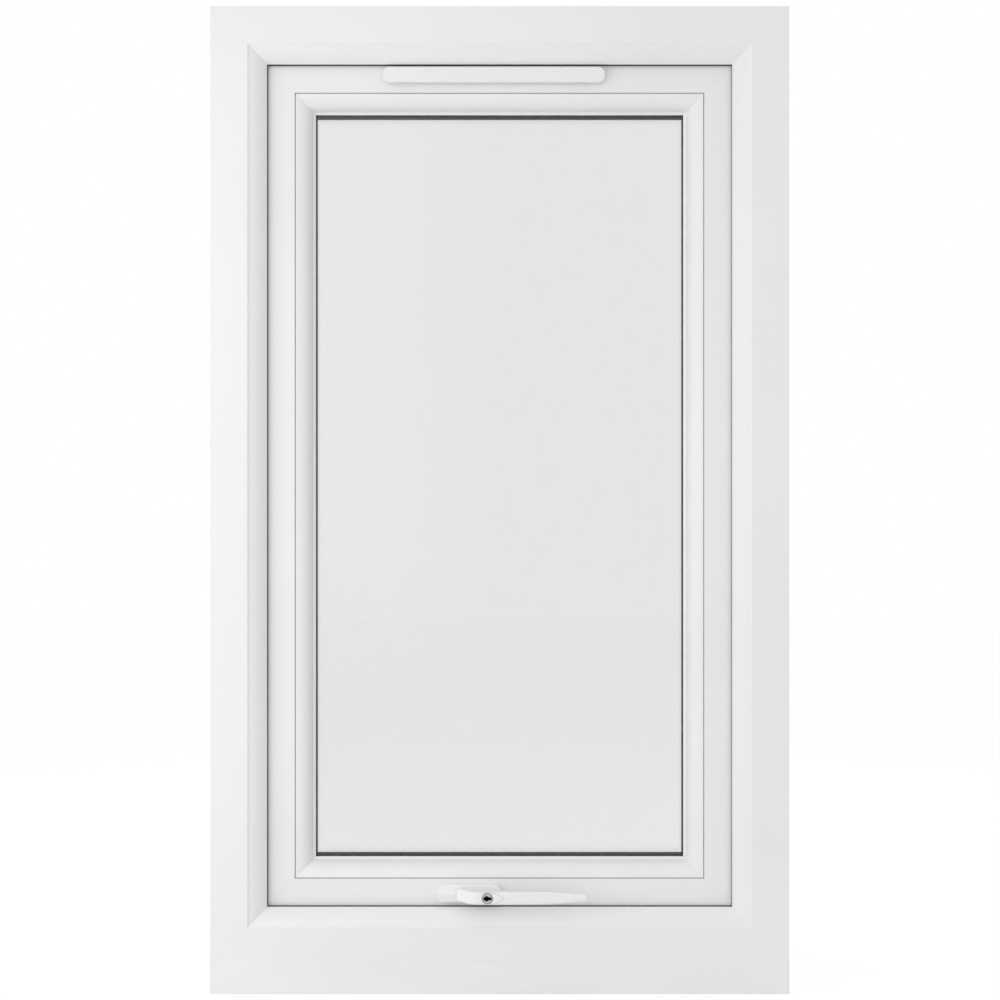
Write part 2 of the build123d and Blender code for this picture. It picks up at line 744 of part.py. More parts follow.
track = upright(track_section, track_bottom, track_top)
for tool in track_screws:
    track = track.cut(tool).solid()
save("stay_track_left", track)
save("stay_track_right", twin(track))
track_cap = upright(
    profile(
        (REBATE_FLOOR, track_near),
        (rail_u, track_near, EDGE_ROUND),
        (rail_u + TRACK_CAP_RAMP, HARDWARE_LINE, TRACK_CAP_RAMP),
        (rail_u, track_far, EDGE_ROUND),
        (REBATE_FLOOR, track_far),
    ),
    track_top,
    track_top + TRACK_CAP,
)
save("stay_cap_left", track_cap)
save("stay_cap_right", twin(track_cap))
save("stay_track_screws", *track_screws, *[twin(screw) for screw in track_screws])


def stepped_pin(z, base_u, near_u, far_u, head_u):
    """Shoulder from its base, pin through the arm, flat head."""
    shoulder_bar = bar_x(COLLAR_RADIUS, base_u, near_u, HARDWARE_LINE, z)
    pin = bar_x(PIN_RADIUS, base_u, head_u, HARDWARE_LINE, z)
    head = bar_x(COLLAR_RADIUS, far_u, head_u, HARDWARE_LINE, z)
    return shoulder_bar.fuse(pin, head).solid()


pin_near_u = arm_low_u - PIN_FLOAT
pin_far_u = arm_high_u + PIN_FLOAT
frame_rivet = stepped_pin(frame_pin, track_u, pin_near_u, pin_far_u, pin_far_u + RIVET_HEAD)
save("stay_frame_rivets", frame_rivet, twin(frame_rivet))

sash_rivets = [
    stepped_pin(z, sash_arm_u, pin_far_u, pin_near_u, pin_near_u - RIVET_HEAD)
    for z in (top_pin, middle_pin)
]
save("stay_sash_rivets", *sash_rivets, *[twin(rivet) for rivet in sash_rivets])


def strap(length, width, low_pin):
    """Flat bar with round ends and a pin hole at each end, standing on its lower pin."""
    plate = Rot(0, 0, 90) * SlotCenterToCenter(length, width)
    plate -= Pos(0, -length / 2) * Circle(PIN_RADIUS + PIN_CLEARANCE)
    plate -= Pos(0, length / 2) * Circle(PIN_RADIUS + PIN_CLEARANCE)
    return facing(plate, arm_low_u, arm_high_u, low_pin + length / 2)


support_arm = strap(ARM_LENGTH, ARM_WIDTH, frame_pin)
save("stay_arm_left", support_arm)
save("stay_arm_right", twin(support_arm))
short_link = strap(LINK_LENGTH, LINK_WIDTH, slider_pin)
save("stay_link_left", short_link)
save("stay_link_right", twin(short_link))

# Slider: shoe under the track's lips, tongue between them, pivot stud
shoe_near = track_near + TRACK_SIDE + SLIDER_CLEARANCE
shoe_far = track_far - TRACK_SIDE - SLIDER_CLEARANCE
shoe_bottom_u = track_u + SLIDER_CLEARANCE
shoe_top_u = lip_u - SLIDER_CLEARANCE
slider_low = slider_pin - SLIDER_LENGTH / 2
slider = upright(
    profile(
        (shoe_bottom_u, shoe_near),
        (shoe_top_u, shoe_near),
        (shoe_top_u, lip_near + SLIDER_CLEARANCE),
        (rail_u, lip_near + SLIDER_CLEARANCE),
        (rail_u, lip_far - SLIDER_CLEARANCE),
        (shoe_top_u, lip_far - SLIDER_CLEARANCE),
        (shoe_top_u, shoe_far),
        (shoe_bottom_u, shoe_far),
    ),
    slider_low,
    slider_low + SLIDER_LENGTH,
)
stud = stepped_pin(slider_pin, shoe_top_u, pin_near_u, pin_far_u, pin_far_u + RIVET_HEAD)
slider = slider.fuse(stud).solid()
save("stay_slider_left", slider)
save("stay_slider_right", twin(slider))

sash_arm = block(
    (left(sash_arm_u), left(GROOVE_FLOOR)),
    (deep(HARDWARE_LINE - ARM_WIDTH / 2), deep(HARDWARE_LINE + ARM_WIDTH / 2)),
    (sash_arm_bottom, sash_arm_top),
)
stile = member(sash_section, "left")
for tool in sash_arm_screws:
    sash_arm = sash_arm.cut(tool).solid()
    stile = stile.cut(tool).solid()
save("stay_sash_arm_left", sash_arm)
save("stay_sash_arm_right", twin(sash_arm))
save("stay_sash_screws", *sash_arm_screws, *[twin(screw) for screw in sash_arm_screws])
save("sash_stile_left", stile)
save("sash_stile_right", twin(stile))

# Night vent: slots through the top rail, plate and flap indoors, hood outdoors
vent_top = high(FRAME_FACE) - VENT_TOP_GAP
vent_bottom = vent_top - VENT_HEIGHT
vent_mid = (vent_top + vent_bottom) / 2
slot = SlotOverall(VENT_SLOT_LENGTH, VENT_SLOT_HEIGHT)
slots = Pos(-VENT_SLOT_SPACING / 2, 0) * slot + Pos(VENT_SLOT_SPACING / 2, 0) * slot
airway = front(slots, VENT_X, vent_mid, SETBACK - VENT_PLATE - OVERRUN, SASH_BACK + CANOPY_WALL + OVERRUN)
top_rail = member(sash_section, "top")
for tool in airway.solids():
    top_rail = top_rail.cut(tool).solid()
save("sash_top_rail", top_rail)

plate_front = SETBACK - VENT_PLATE
flap_back = plate_front - FLAP_GAP
flap_front = flap_back - FLAP_THICKNESS
pivot_d = (flap_front + FLAP_FRONT + flap_back + FLAP_GAP) / 2
pivot_z = vent_bottom + VENT_PIVOT_UP
ear_x = [VENT_X + sign * (VENT_LENGTH / 2 - VENT_EAR_INSET) for sign in (-1, 1)]
plate_low = vent_bottom + VENT_PLATE_FOOT
plate_high = vent_top - VENT_PLATE_INSET
vent_base = block(
    (VENT_X - VENT_LENGTH / 2 + VENT_ROUND, VENT_X + VENT_LENGTH / 2 - VENT_ROUND),
    (deep(plate_front), deep(SETBACK)),
    (plate_low, plate_high),
)
ear_section = Pos(pivot_d, pivot_z) * Circle(VENT_EAR_RADIUS)
ear_section += profile(
    (pivot_d, pivot_z - VENT_EAR_RADIUS),
    (plate_front + VENT_PLATE / 2, pivot_z - VENT_EAR_RADIUS),
    (plate_front + VENT_PLATE / 2, pivot_z + VENT_EAR_RADIUS),
    (pivot_d, pivot_z + VENT_EAR_RADIUS),
)
ear_section -= Pos(pivot_d, pivot_z) * Circle(VENT_PIVOT_RADIUS + VENT_PIVOT_CLEARANCE)
for x in ear_x:
    ear = along_x(ear_section, x - VENT_EAR_WIDTH / 2, x + VENT_EAR_WIDTH / 2)
    vent_base = vent_base.fuse(ear.solid()).solid()
for tool in airway.solids():
    vent_base = vent_base.cut(tool).solid()
save("vent_base", vent_base)

vent_outline = RectangleRounded(VENT_LENGTH, VENT_HEIGHT, VENT_ROUND)
flap = front(vent_outline, VENT_X, vent_mid, flap_front, flap_back)
flap = fillet(flap.faces().sort_by(Axis.Y)[0].edges(), VENT_EDGE_ROUND).solid()
notch_front = flap_front + FLAP_FRONT
for x in ear_x:
    pocket = block(
        (x - VENT_NOTCH_WIDTH / 2, x + VENT_NOTCH_WIDTH / 2),
        (deep(notch_front), deep(flap_back + OVERRUN)),
        (vent_bottom - OVERRUN, pivot_z + VENT_NOTCH_UP),
    )
    axle_plane = Plane((x - VENT_NOTCH_WIDTH / 2, deep(pivot_d), pivot_z), (0, 1, 0), (1, 0, 0))
    axle = axle_plane.location * Solid.make_cylinder(VENT_PIVOT_RADIUS, VENT_NOTCH_WIDTH)
    flap = flap.cut(pocket.solid()).fuse(axle).solid()
save("vent_flap", flap)

canopy_low = vent_mid - CANOPY_HEIGHT / 2 + CANOPY_LIFT
canopy_high = canopy_low + CANOPY_HEIGHT
canopy_outer = SASH_BACK + CANOPY_DEPTH
canopy_knee = canopy_high - CANOPY_SLOPE_FALL
hood_section = profile(
    (SASH_BACK, canopy_low),
    (SASH_BACK + CANOPY_WALL, canopy_low),
    (SASH_BACK + CANOPY_WALL, canopy_high - CANOPY_WALL * 2),
    (canopy_outer - CANOPY_WALL, canopy_knee - CANOPY_WALL),
    (canopy_outer - CANOPY_WALL, canopy_low),
    (canopy_outer, canopy_low),
    (canopy_outer, canopy_knee, CANOPY_WALL),
    (SASH_BACK + CANOPY_TOP, canopy_high, CANOPY_WALL),
    (SASH_BACK, canopy_high),
)
canopy_end_section = profile(
    (SASH_BACK, canopy_low),
    (canopy_outer, canopy_low),
    (canopy_outer, canopy_knee, CANOPY_WALL),
    (SASH_BACK + CANOPY_TOP, canopy_high, CANOPY_WALL),
    (SASH_BACK, canopy_high),
)
hood_from = VENT_X - VENT_LENGTH / 2
hood_to = VENT_X + VENT_LENGTH / 2
canopy = along_x(hood_section, hood_from, hood_to)
canopy = canopy.fuse(
    along_x(canopy_end_section, hood_from, hood_from + CANOPY_WALL).solid(),
    along_x(canopy_end_section, hood_to - CANOPY_WALL, hood_to).solid(),
).solid()
for tool in airway.solids():
    canopy = canopy.cut(tool & block(
        (hood_from, hood_to),
        (deep(SASH_BACK - OVERRUN), deep(SASH_BACK + CANOPY_WALL + OVERRUN)),
        (canopy_low, canopy_high),
    )).solid()
save("vent_canopy", canopy)

# Handle: spindle in the middle of the visible part of the bottom rail
handle_z = low((FRAME_FACE + BEAD_LINE) / 2)
lever_front = SETBACK - HANDLE_PROJECTION
lever_back = lever_front + LEVER_THICKNESS
lever_root = SETBACK - BASE_THICKNESS - LEVER_FLOAT
tip_front = lever_front + LEVER_TIP_SETBACK
plan = profile(
    (-NECK_LEFT - OVERRUN, lever_root),
    (-NECK_LEFT - OVERRUN, lever_root - NECK_FOOT),
    (NECK_FRONT, lever_front, NECK_ROUND),
    (LEVER_TAPER_START, lever_front, LEVER_TAPER_ROUND),
    (LEVER_REACH + OVERRUN, tip_front),
    (LEVER_REACH + OVERRUN, tip_front + LEVER_TIP_THICKNESS),
    (NECK_RIGHT + NECK_ARCH_RUN, lever_back, NECK_ARCH_ROUND),
    (NECK_RIGHT, lever_root),
)
plan_plane = Plane((HANDLE_X, FACE_Y, handle_z), (1, 0, 0), (0, 0, 1))
taper_run = LEVER_REACH - LEVER_TIP_ROUND - LEVER_TAPER_START
taper_fall = LEVER_HEIGHT / 2 - LEVER_TIP_ROUND
taper_radius = (taper_run ** 2 + (LEVER_HEIGHT / 2) ** 2 - LEVER_TIP_ROUND ** 2) / (2 * taper_fall)
tip_share = LEVER_TIP_ROUND / (taper_radius - LEVER_TIP_ROUND)
tip_x = LEVER_REACH - LEVER_TIP_ROUND + taper_run * tip_share
tip_z = (taper_radius - LEVER_HEIGHT / 2) * tip_share
taper = (LEVER_TAPER_START, LEVER_HEIGHT / 2)
root_end = (LEVER_END_ROUND - NECK_LEFT, LEVER_HEIGHT / 2)
root_side = (-NECK_LEFT, LEVER_HEIGHT / 2 - LEVER_END_ROUND)
upper_edges = [
    TangentArc(root_end, root_side, tangent=(-1, 0)).edge(),
    Line(root_end, taper).edge(),
    TangentArc(taper, (tip_x, tip_z), tangent=(1, 0)).edge(),
]
elevation = make_face(
    [
        *upper_edges,
        *[mirror(edge, about=Plane.XZ) for edge in upper_edges],
        ThreePointArc((tip_x, tip_z), (LEVER_REACH, 0), (tip_x, -tip_z)).edge(),
        Line(root_side, (root_side[0], -root_side[1])).edge(),
    ]
)
lever = plan_plane.location * extrude(plan, LEVER_HEIGHT, both=True)
lever &= front(elevation, HANDLE_X, handle_z, lever_front - OVERRUN, lever_root + OVERRUN)
lever = lever.solid()
# smooth faces meet in lines along Y and Z, apart from the neck's own two upright edges at the left end
upright_seams = lever.edges().filter_by(Axis.Z).sort_by(Axis.X)[2:]
seams = lever.edges().filter_by(Axis.Y) + upright_seams
kept_sharp = seams + lever.faces().sort_by(Axis.Y)[-1].edges()
lever = fillet([edge for edge in lever.edges() if edge not in kept_sharp], LEVER_EDGE_ROUND).solid()

key_x = HANDLE_X + KEY_REACH


def arch(radius, tip):
    """Round at one end, pointed at the other, like a pointed arch on its side."""
    return make_face(
        [
            TangentArc((0, radius), (tip, 0), tangent=(1, 0)).edge(),
            TangentArc((0, -radius), (tip, 0), tangent=(1, 0)).edge(),
            ThreePointArc((0, radius), (-radius, 0), (0, -radius)).edge(),
        ]
    )


button_front = lever_front - BUTTON_PROUD
button_back = button_front + BUTTON_DEPTH
pocket_floor = button_back + BUTTON_TRAVEL + BUTTON_CLEARANCE
pocket = front(
    arch(BUTTON_RADIUS + BUTTON_CLEARANCE, BUTTON_TIP + BUTTON_CLEARANCE * 2),
    key_x,
    handle_z,
    lever_front - BUTTON_PROUD - OVERRUN,
    pocket_floor,
)
spigot_end = lever_root + SPIGOT_LENGTH
spigot = bar_y(SPIGOT_RADIUS, HANDLE_X, handle_z, lever_root - OVERRUN, spigot_end)
gearbox_near = HARDWARE_LINE - PINION_THICKNESS / 2 - GEARBOX_GAP - GEARBOX_PLATE
gearbox_far = HARDWARE_LINE + PINION_THICKNESS / 2 + GEARBOX_GAP + GEARBOX_PLATE
spindle_start = lever_root - SPINDLE_GRIP
spindle = front(Rectangle(SPINDLE, SPINDLE), HANDLE_X, handle_z, spindle_start, gearbox_far)
lever = lever.cut(pocket.solid()).fuse(spigot).cut(spindle.solid()).solid()
save("handle_lever", lever)
save("handle_spindle", spindle)

button = front(arch(BUTTON_RADIUS, BUTTON_TIP), key_x, handle_z, button_front, button_back).solid()
button = fillet(button.faces().sort_by(Axis.Y)[0].edges(), BUTTON_EDGE)
barrel_front = button_front - BARREL_PROUD
barrel_back = button_back - BUTTON_FLOOR
button = button.cut(
    bar_y(BARREL_RADIUS + BARREL_CLEARANCE, key_x, handle_z, barrel_front - OVERRUN, barrel_back)
).solid()
save("lock_button", button)
keyhole = SlotOverall(KEYHOLE_LENGTH, KEYHOLE_HEIGHT) + Pos(-KEYHOLE_OFFSET, 0) * Circle(KEYHOLE_RADIUS)
barrel = bar_y(BARREL_RADIUS, key_x, handle_z, barrel_front, barrel_back)
barrel = barrel.cut(
    front(keyhole, key_x, handle_z, barrel_front - OVERRUN, barrel_front + KEYHOLE_DEPTH).solid()
).solid()
save("key_barrel", barrel)

# Handle base: ridged cover over a steel plate and two screws
base_outline = RectangleRounded(BASE_LENGTH, BASE_HEIGHT, BASE_ROUND)
base_front = SETBACK - BASE_THICKNESS
base_section = profile(
    (SETBACK, handle_z - BASE_HEIGHT),
    (SETBACK, handle_z + BASE_HEIGHT),
    (SETBACK - BASE_SIDE, handle_z + BASE_HEIGHT),
    (SETBACK - BASE_SIDE, handle_z + BASE_HEIGHT / 2),
    (base_front, handle_z, BASE_RIDGE_ROUND),
    (SETBACK - BASE_SIDE, handle_z - BASE_HEIGHT / 2),
    (SETBACK - BASE_SIDE, handle_z - BASE_HEIGHT),
)
base = front(base_outline, HANDLE_X, handle_z, base_front, SETBACK)
base &= along_x(base_section, HANDLE_X - BASE_LENGTH, HANDLE_X + BASE_LENGTH)
hollow_outline = RectangleRounded(
    BASE_LENGTH - BASE_WALL * 2, BASE_HEIGHT - BASE_WALL * 2, BASE_ROUND - BASE_WALL
)
hollow_front = SETBACK - BASE_SIDE + BASE_WALL / 2
base -= front(hollow_outline, HANDLE_X, handle_z, hollow_front, SETBACK + OVERRUN)
base = base.solid().cut(
    bar_y(SPIGOT_RADIUS + SPIGOT_CLEARANCE, HANDLE_X, handle_z, base_front - OVERRUN, SETBACK)
)
save("handle_base", base)
handle_screw_x = [HANDLE_X + sign * HANDLE_SCREW_SPACING / 2 for sign in (-1, 1)]
plate_face = SETBACK - BASE_PLATE
handle_screws = []
for x in handle_screw_x:
    head = bar_y(HANDLE_SCREW_HEAD_RADIUS, x, handle_z, plate_face - HANDLE_SCREW_HEAD, plate_face)
    shank = bar_y(HANDLE_SCREW_RADIUS, x, handle_z, plate_face - HANDLE_SCREW_HEAD, gearbox_far)
    handle_screws.append(head.fuse(shank).solid())
save("handle_screws", *handle_screws)
plate_outline = RectangleRounded(
    BASE_LENGTH - (BASE_WALL + BASE_PLATE_CLEARANCE) * 2,
    BASE_HEIGHT - (BASE_WALL + BASE_PLATE_CLEARANCE) * 2,
    BASE_ROUND - BASE_WALL - BASE_PLATE_CLEARANCE,
)
base_plate = front(plate_outline, HANDLE_X, handle_z, plate_face, SETBACK).solid()
spindle_hole = bar_y(SPIGOT_RADIUS + SPIGOT_CLEARANCE, HANDLE_X, handle_z, lever_root, FRAME_DEPTH)
for tool in handle_screws + [spindle_hole]:
    base_plate = base_plate.cut(tool).solid()
save("handle_plate", base_plate)

# Espagnolette: pinion on the spindle, rack on the rod, rod in the groove of the bottom rail
pitch_radius = ROD_TRAVEL / (pi / 2)
module = pitch_radius * 2 / PINION_TEETH
pitch = module * pi
tip_radius = pitch_radius + module * ADDENDUM_SHARE
root_radius = pitch_radius - module * DEDENDUM_SHARE
base_radius = pitch_radius * cos(PRESSURE_ANGLE)


def involute(angle):
    return tan(angle) - angle


def flank(radius):
    """Half the angle that a tooth takes up at a radius."""
    at_pitch = (pitch / 2 - TOOTH_BACKLASH) / pitch_radius / 2
    inside = max(radius, base_radius)
    return at_pitch + involute(PRESSURE_ANGLE) - involute(acos(base_radius / inside))


def polar(radius, angle):
    return (radius * cos(angle), radius * sin(angle))


flank_radii = (root_radius - TOOTH_BACKLASH, base_radius, pitch_radius, tip_radius)
pinion_face = Circle(root_radius)
for index in range(-4, 2):
    middle = -pi / 2 + index * 2 * pi / PINION_TEETH
    rising = [polar(radius, middle - flank(radius)) for radius in flank_radii]
    falling = [polar(radius, middle + flank(radius)) for radius in reversed(flank_radii)]
    pinion_face += make_face(Polyline(*rising, *falling, close=True))
pinion_near = HARDWARE_LINE - PINION_THICKNESS / 2
pinion_far = HARDWARE_LINE + PINION_THICKNESS / 2
pinion = front(pinion_face, HANDLE_X, handle_z, pinion_near, pinion_far).solid()
hub = bar_y(HUB_RADIUS, HANDLE_X, handle_z, gearbox_near, gearbox_far)
pinion = pinion.fuse(hub).cut(spindle.solid()).solid()
save("lock_pinion", pinion)

rod_top = low(GROOVE_FLOOR) - ROD_CLEARANCE
rod_bottom = rod_top - ROD_THICKNESS
rod = block(
    (-ROD_HALF_LENGTH, ROD_HALF_LENGTH),
    (deep(HARDWARE_LINE - ROD_WIDTH / 2), deep(HARDWARE_LINE + ROD_WIDTH / 2)),
    (rod_bottom, rod_top),
)
rack_tip = -pitch_radius + module * ADDENDUM_SHARE
rack_root = -pitch_radius - module * DEDENDUM_SHARE
lean = tan(PRESSURE_ANGLE)
half_tooth = pitch / 4 - TOOTH_BACKLASH / 2
rack_from = -RACK_LEFT_PITCHES * pitch
rack_to = RACK_RIGHT_PITCHES * pitch
rack_points = [(rack_from, rod_top - handle_z), (rack_from, rack_root)]
for index in range(-RACK_LEFT_PITCHES, RACK_RIGHT_PITCHES):
    middle = (index + 1 / 2) * pitch
    foot = half_tooth + (-pitch_radius - rack_root) * lean
    crest = half_tooth - (rack_tip + pitch_radius) * lean
    rack_points += [
        (middle - foot, rack_root),
        (middle - crest, rack_tip),
        (middle + crest, rack_tip),
        (middle + foot, rack_root),
    ]
rack_points += [(rack_to, rack_root), (rack_to, rod_top - handle_z)]
rack_near = pinion_near + GEARBOX_GAP
rack_far = pinion_far - GEARBOX_GAP
rack = front(make_face(Polyline(*rack_points, close=True)), HANDLE_X, handle_z, rack_near, rack_far)
rod = rod.fuse(rack.solid()).solid()
save("lock_rod", rod)

# Gearbox: two plates and two screw blocks, set into a slot in the bottom rail
gearbox_half = GEARBOX_LENGTH / 2
gearbox_low = low(GROOVE_FLOOR)
gearbox_high = handle_z + GEARBOX_RISE
block_low = handle_z - HANDLE_SCREW_RADIUS - GEARBOX_PLATE * 2
gearbox = block(
    (HANDLE_X - gearbox_half, HANDLE_X + gearbox_half),
    (deep(gearbox_near), deep(gearbox_far)),
    (gearbox_low, gearbox_high),
)
gearbox -= block(
    (HANDLE_X - gearbox_half + GEARBOX_BLOCK, HANDLE_X + gearbox_half - GEARBOX_BLOCK),
    (deep(gearbox_near + GEARBOX_PLATE), deep(gearbox_far - GEARBOX_PLATE)),
    (gearbox_low - OVERRUN, gearbox_high + OVERRUN),
)
gearbox -= block(
    (HANDLE_X - gearbox_half - OVERRUN, HANDLE_X + gearbox_half + OVERRUN),
    (deep(gearbox_near + GEARBOX_PLATE), deep(gearbox_far - GEARBOX_PLATE)),
    (gearbox_low - OVERRUN, block_low),
)
gearbox = gearbox.solid()
hub_bore = bar_y(HUB_RADIUS + HUB_CLEARANCE, HANDLE_X, handle_z, gearbox_near - OVERRUN, gearbox_far + OVERRUN)
for tool in handle_screws + [hub_bore]:
    gearbox = gearbox.cut(tool).solid()
save("lock_gearbox", gearbox)

# Straps that hold the rod up in its groove
strap_top = rod_bottom - ROD_CLEARANCE
strap_low = strap_top - GUIDE_STRAP
leg_in = ROD_WIDTH / 2 + ROD_CLEARANCE
leg_out = leg_in + GUIDE_LEG
guide_section = profile(
    (HARDWARE_LINE - leg_out, low(GROOVE_FLOOR)),
    (HARDWARE_LINE - leg_in, low(GROOVE_FLOOR)),
    (HARDWARE_LINE - leg_in, strap_top),
    (HARDWARE_LINE + leg_in, strap_top),
    (HARDWARE_LINE + leg_in, low(GROOVE_FLOOR)),
    (HARDWARE_LINE + leg_out, low(GROOVE_FLOOR)),
    (HARDWARE_LINE + leg_out, strap_low, EDGE_ROUND),
    (HARDWARE_LINE - leg_out, strap_low, EDGE_ROUND),
)
guides = [
    along_x(guide_section, middle - GUIDE_LENGTH / 2, middle + GUIDE_LENGTH / 2)
    for middle in (-GUIDE_SPACING / 2, GUIDE_SPACING / 2)
]
save("lock_guides", *guides)

# Mushroom cams on the rod and hooked keeps on the frame, beside each other
cam_neck = rod_bottom - CAM_STEM
cam_low = cam_neck - CAM_HEAD
cam_x = [-CAM_SPACING / 2, CAM_SPACING / 2]
cams = [
    bar_z(CAM_STEM_RADIUS, x, HARDWARE_LINE, cam_neck, rod_bottom)
    .fuse(bar_z(CAM_HEAD_RADIUS, x, HARDWARE_LINE, cam_low, cam_neck))
    .solid()
    for x in cam_x
]
save("lock_cams", *cams)

keep_low = low(REBATE_FLOOR)
hook_far = HARDWARE_LINE + CAM_HEAD_RADIUS + KEEP_CLEARANCE + KEEP_WALL
hook_top = cam_neck + KEEP_CLEARANCE + KEEP_WALL
hook_section = profile(
    (hook_far, keep_low),
    (hook_far, hook_top),
    (hook_far - KEEP_WALL - KEEP_HOOK_REACH, hook_top),
    (hook_far - KEEP_WALL - KEEP_HOOK_REACH, cam_neck + KEEP_CLEARANCE),
    (hook_far - KEEP_WALL, cam_neck + KEEP_CLEARANCE),
    (hook_far - KEEP_WALL, keep_low),
)
keeps = []
for x in cam_x:
    hook_to = x - CAM_HEAD_RADIUS - KEEP_CLEARANCE
    keep = along_x(hook_section, hook_to - KEEP_HOOK_LENGTH, hook_to).solid()
    floor = block(
        (hook_to - (KEEP_HOOK_LENGTH + KEEP_LENGTH) / 2, hook_to + (KEEP_LENGTH - KEEP_HOOK_LENGTH) / 2),
        (deep(hook_far - KEEP_WIDTH), deep(hook_far)),
        (keep_low, keep_low + KEEP_PLATE),
    )
    keeps.append(keep.fuse(floor.solid()).solid())
save("lock_keeps", *keeps)

# Bottom rail with the cuts for spindle, screws and gearbox
bottom_rail = member(sash_section, "bottom")
gearbox_slot = block(
    (HANDLE_X - gearbox_half - GEARBOX_FIT, HANDLE_X + gearbox_half + GEARBOX_FIT),
    (deep(gearbox_near - GEARBOX_FIT), deep(gearbox_far + GEARBOX_FIT)),
    (low(GROOVE_FLOOR) - OVERRUN, low(GROOVE_FLOOR + WALL) + OVERRUN),
)
for tool in handle_screws + [spindle_hole, gearbox_slot.solid()]:
    bottom_rail = bottom_rail.cut(tool).solid()
save("sash_bottom_rail", bottom_rail)
save("sash_seal", ring(seal_section(SASH_SEAL_U, FLANGE_FACE, SEAL_GAP, -1)))

# Glazing
for side in SIDES:
    save(f"bead_{side}", member(bead_section, side))
bead_gasket = profile(
    (BEAD_SIGHT - BEAD_GASKET_HEIGHT, BEAD_BACK),
    (BEAD_SIGHT, BEAD_BACK),
    (BEAD_SIGHT, BEAD_BACK + GASKET_TIP),
    (BEAD_SIGHT - GASKET_TIP, GLASS_FRONT),
    (BEAD_SIGHT - BEAD_GASKET_HEIGHT, GLASS_FRONT),
)
save("bead_gasket", ring(bead_gasket))
root = SEAL_ROOT / 2 - SEAL_FIT
leg_gasket = profile(
    (LEG_EDGE - LEG_GASKET_HEIGHT, GLASS_BACK),
    (LEG_EDGE - GASKET_TIP, GLASS_BACK),
    (LEG_EDGE, LEG_FACE - GASKET_TIP),
    (LEG_EDGE, LEG_FACE),
    (LEG_SEAL_U + root, LEG_FACE),
    (LEG_SEAL_U + root, LEG_FACE + SEAL_GROOVE - SEAL_FIT),
    (LEG_SEAL_U - root, LEG_FACE + SEAL_GROOVE - SEAL_FIT),
    (LEG_SEAL_U - root, LEG_FACE),
    (LEG_EDGE - LEG_GASKET_HEIGHT, LEG_FACE),
)
save("glazing_gasket", ring(leg_gasket))


def pane(d_from, d_to, u):
    return block((left(u), -left(u)), (deep(d_from), deep(d_to)), (low(u), high(u)))


save("glass_inner", pane(GLASS_FRONT, CAVITY_FRONT, GLASS_EDGE))
save("glass_outer", pane(CAVITY_BACK, GLASS_BACK, GLASS_EDGE))
spacer_edge = GLASS_EDGE + SEALANT_HEIGHT
spacer_inner = spacer_edge + SPACER_HEIGHT
sealant = pane(CAVITY_FRONT, CAVITY_BACK, GLASS_EDGE) - pane(CAVITY_FRONT, CAVITY_BACK, spacer_edge)
save("edge_sealant", sealant)
spacer = pane(CAVITY_FRONT, CAVITY_BACK, spacer_edge) - pane(CAVITY_FRONT, CAVITY_BACK, spacer_inner)
save("spacer_bar", spacer)
packers = []
for sign in (-1, 1):
    across = sign * PACKER_SHARE * WINDOW_WIDTH
    up = MID_HEIGHT + sign * PACKER_SHARE * FRAME_HEIGHT
    half = PACKER_LENGTH / 2
    depth = (deep(GLASS_FRONT), deep(GLASS_BACK))
    packers += [
        block((across - half, across + half), depth, (low(BEAD_LINE), low(GLASS_EDGE))),
        block((across - half, across + half), depth, (high(GLASS_EDGE), high(BEAD_LINE))),
        block((left(BEAD_LINE), left(GLASS_EDGE)), depth, (up - half, up + half)),
        block((-left(GLASS_EDGE), -left(BEAD_LINE)), depth, (up - half, up + half)),
    ]
save("glazing_packers", *packers)
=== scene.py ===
import json
from math import pi

import bpy
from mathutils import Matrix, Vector


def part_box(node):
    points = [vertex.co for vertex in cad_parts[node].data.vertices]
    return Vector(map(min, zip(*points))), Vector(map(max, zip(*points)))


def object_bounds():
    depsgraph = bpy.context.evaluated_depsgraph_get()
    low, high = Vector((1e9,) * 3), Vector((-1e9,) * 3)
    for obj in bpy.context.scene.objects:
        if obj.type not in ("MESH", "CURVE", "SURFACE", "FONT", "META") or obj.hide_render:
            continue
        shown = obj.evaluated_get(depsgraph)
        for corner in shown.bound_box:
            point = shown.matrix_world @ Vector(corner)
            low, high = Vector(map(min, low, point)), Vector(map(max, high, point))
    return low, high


# White plastic top-hung window, closed, seen from the room. The frame is in metres; MM turns the
# sizes below, which are real millimetres, into metres.
MM = 0.001

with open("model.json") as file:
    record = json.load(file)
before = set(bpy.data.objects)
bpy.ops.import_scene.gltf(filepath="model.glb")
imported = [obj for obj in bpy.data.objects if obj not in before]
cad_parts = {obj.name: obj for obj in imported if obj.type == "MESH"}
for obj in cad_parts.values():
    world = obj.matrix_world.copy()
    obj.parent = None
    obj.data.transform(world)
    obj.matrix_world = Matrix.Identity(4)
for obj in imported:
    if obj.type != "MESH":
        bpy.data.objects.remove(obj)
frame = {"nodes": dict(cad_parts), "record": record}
cad_low, cad_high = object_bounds()
nodes = frame["nodes"]

# Photograph: square picture, camera level with the middle of the window, straight on
PICTURE_SIDE = 1000
CAMERA_DISTANCE = 2240 * MM
PICTURE_SCALE = 1.0527 * MM
SENSOR = 36.0
WINDOW_PIXEL_X = 499.55
WINDOW_PIXEL_Y = 499.87

# Keyway in the barrel's front face, drawn in painted shade: a slot with a round bulb on its left
KEYWAY_LENGTH = 8.2 * MM
KEYWAY_HEIGHT = 2.8 * MM
BULB_RADIUS = 2.5 * MM
BULB_OFFSET = 0.9 * MM

# Streaks along a bar: how far the pattern is drawn out
DIE_LINE_STRETCH = 0.004
BRUSH_MARK_STRETCH = 0.02

# Radians that a wave texture turns through per unit, for rings and for slanting bands
RING_TURN = 20
SLANT_TURN = 10

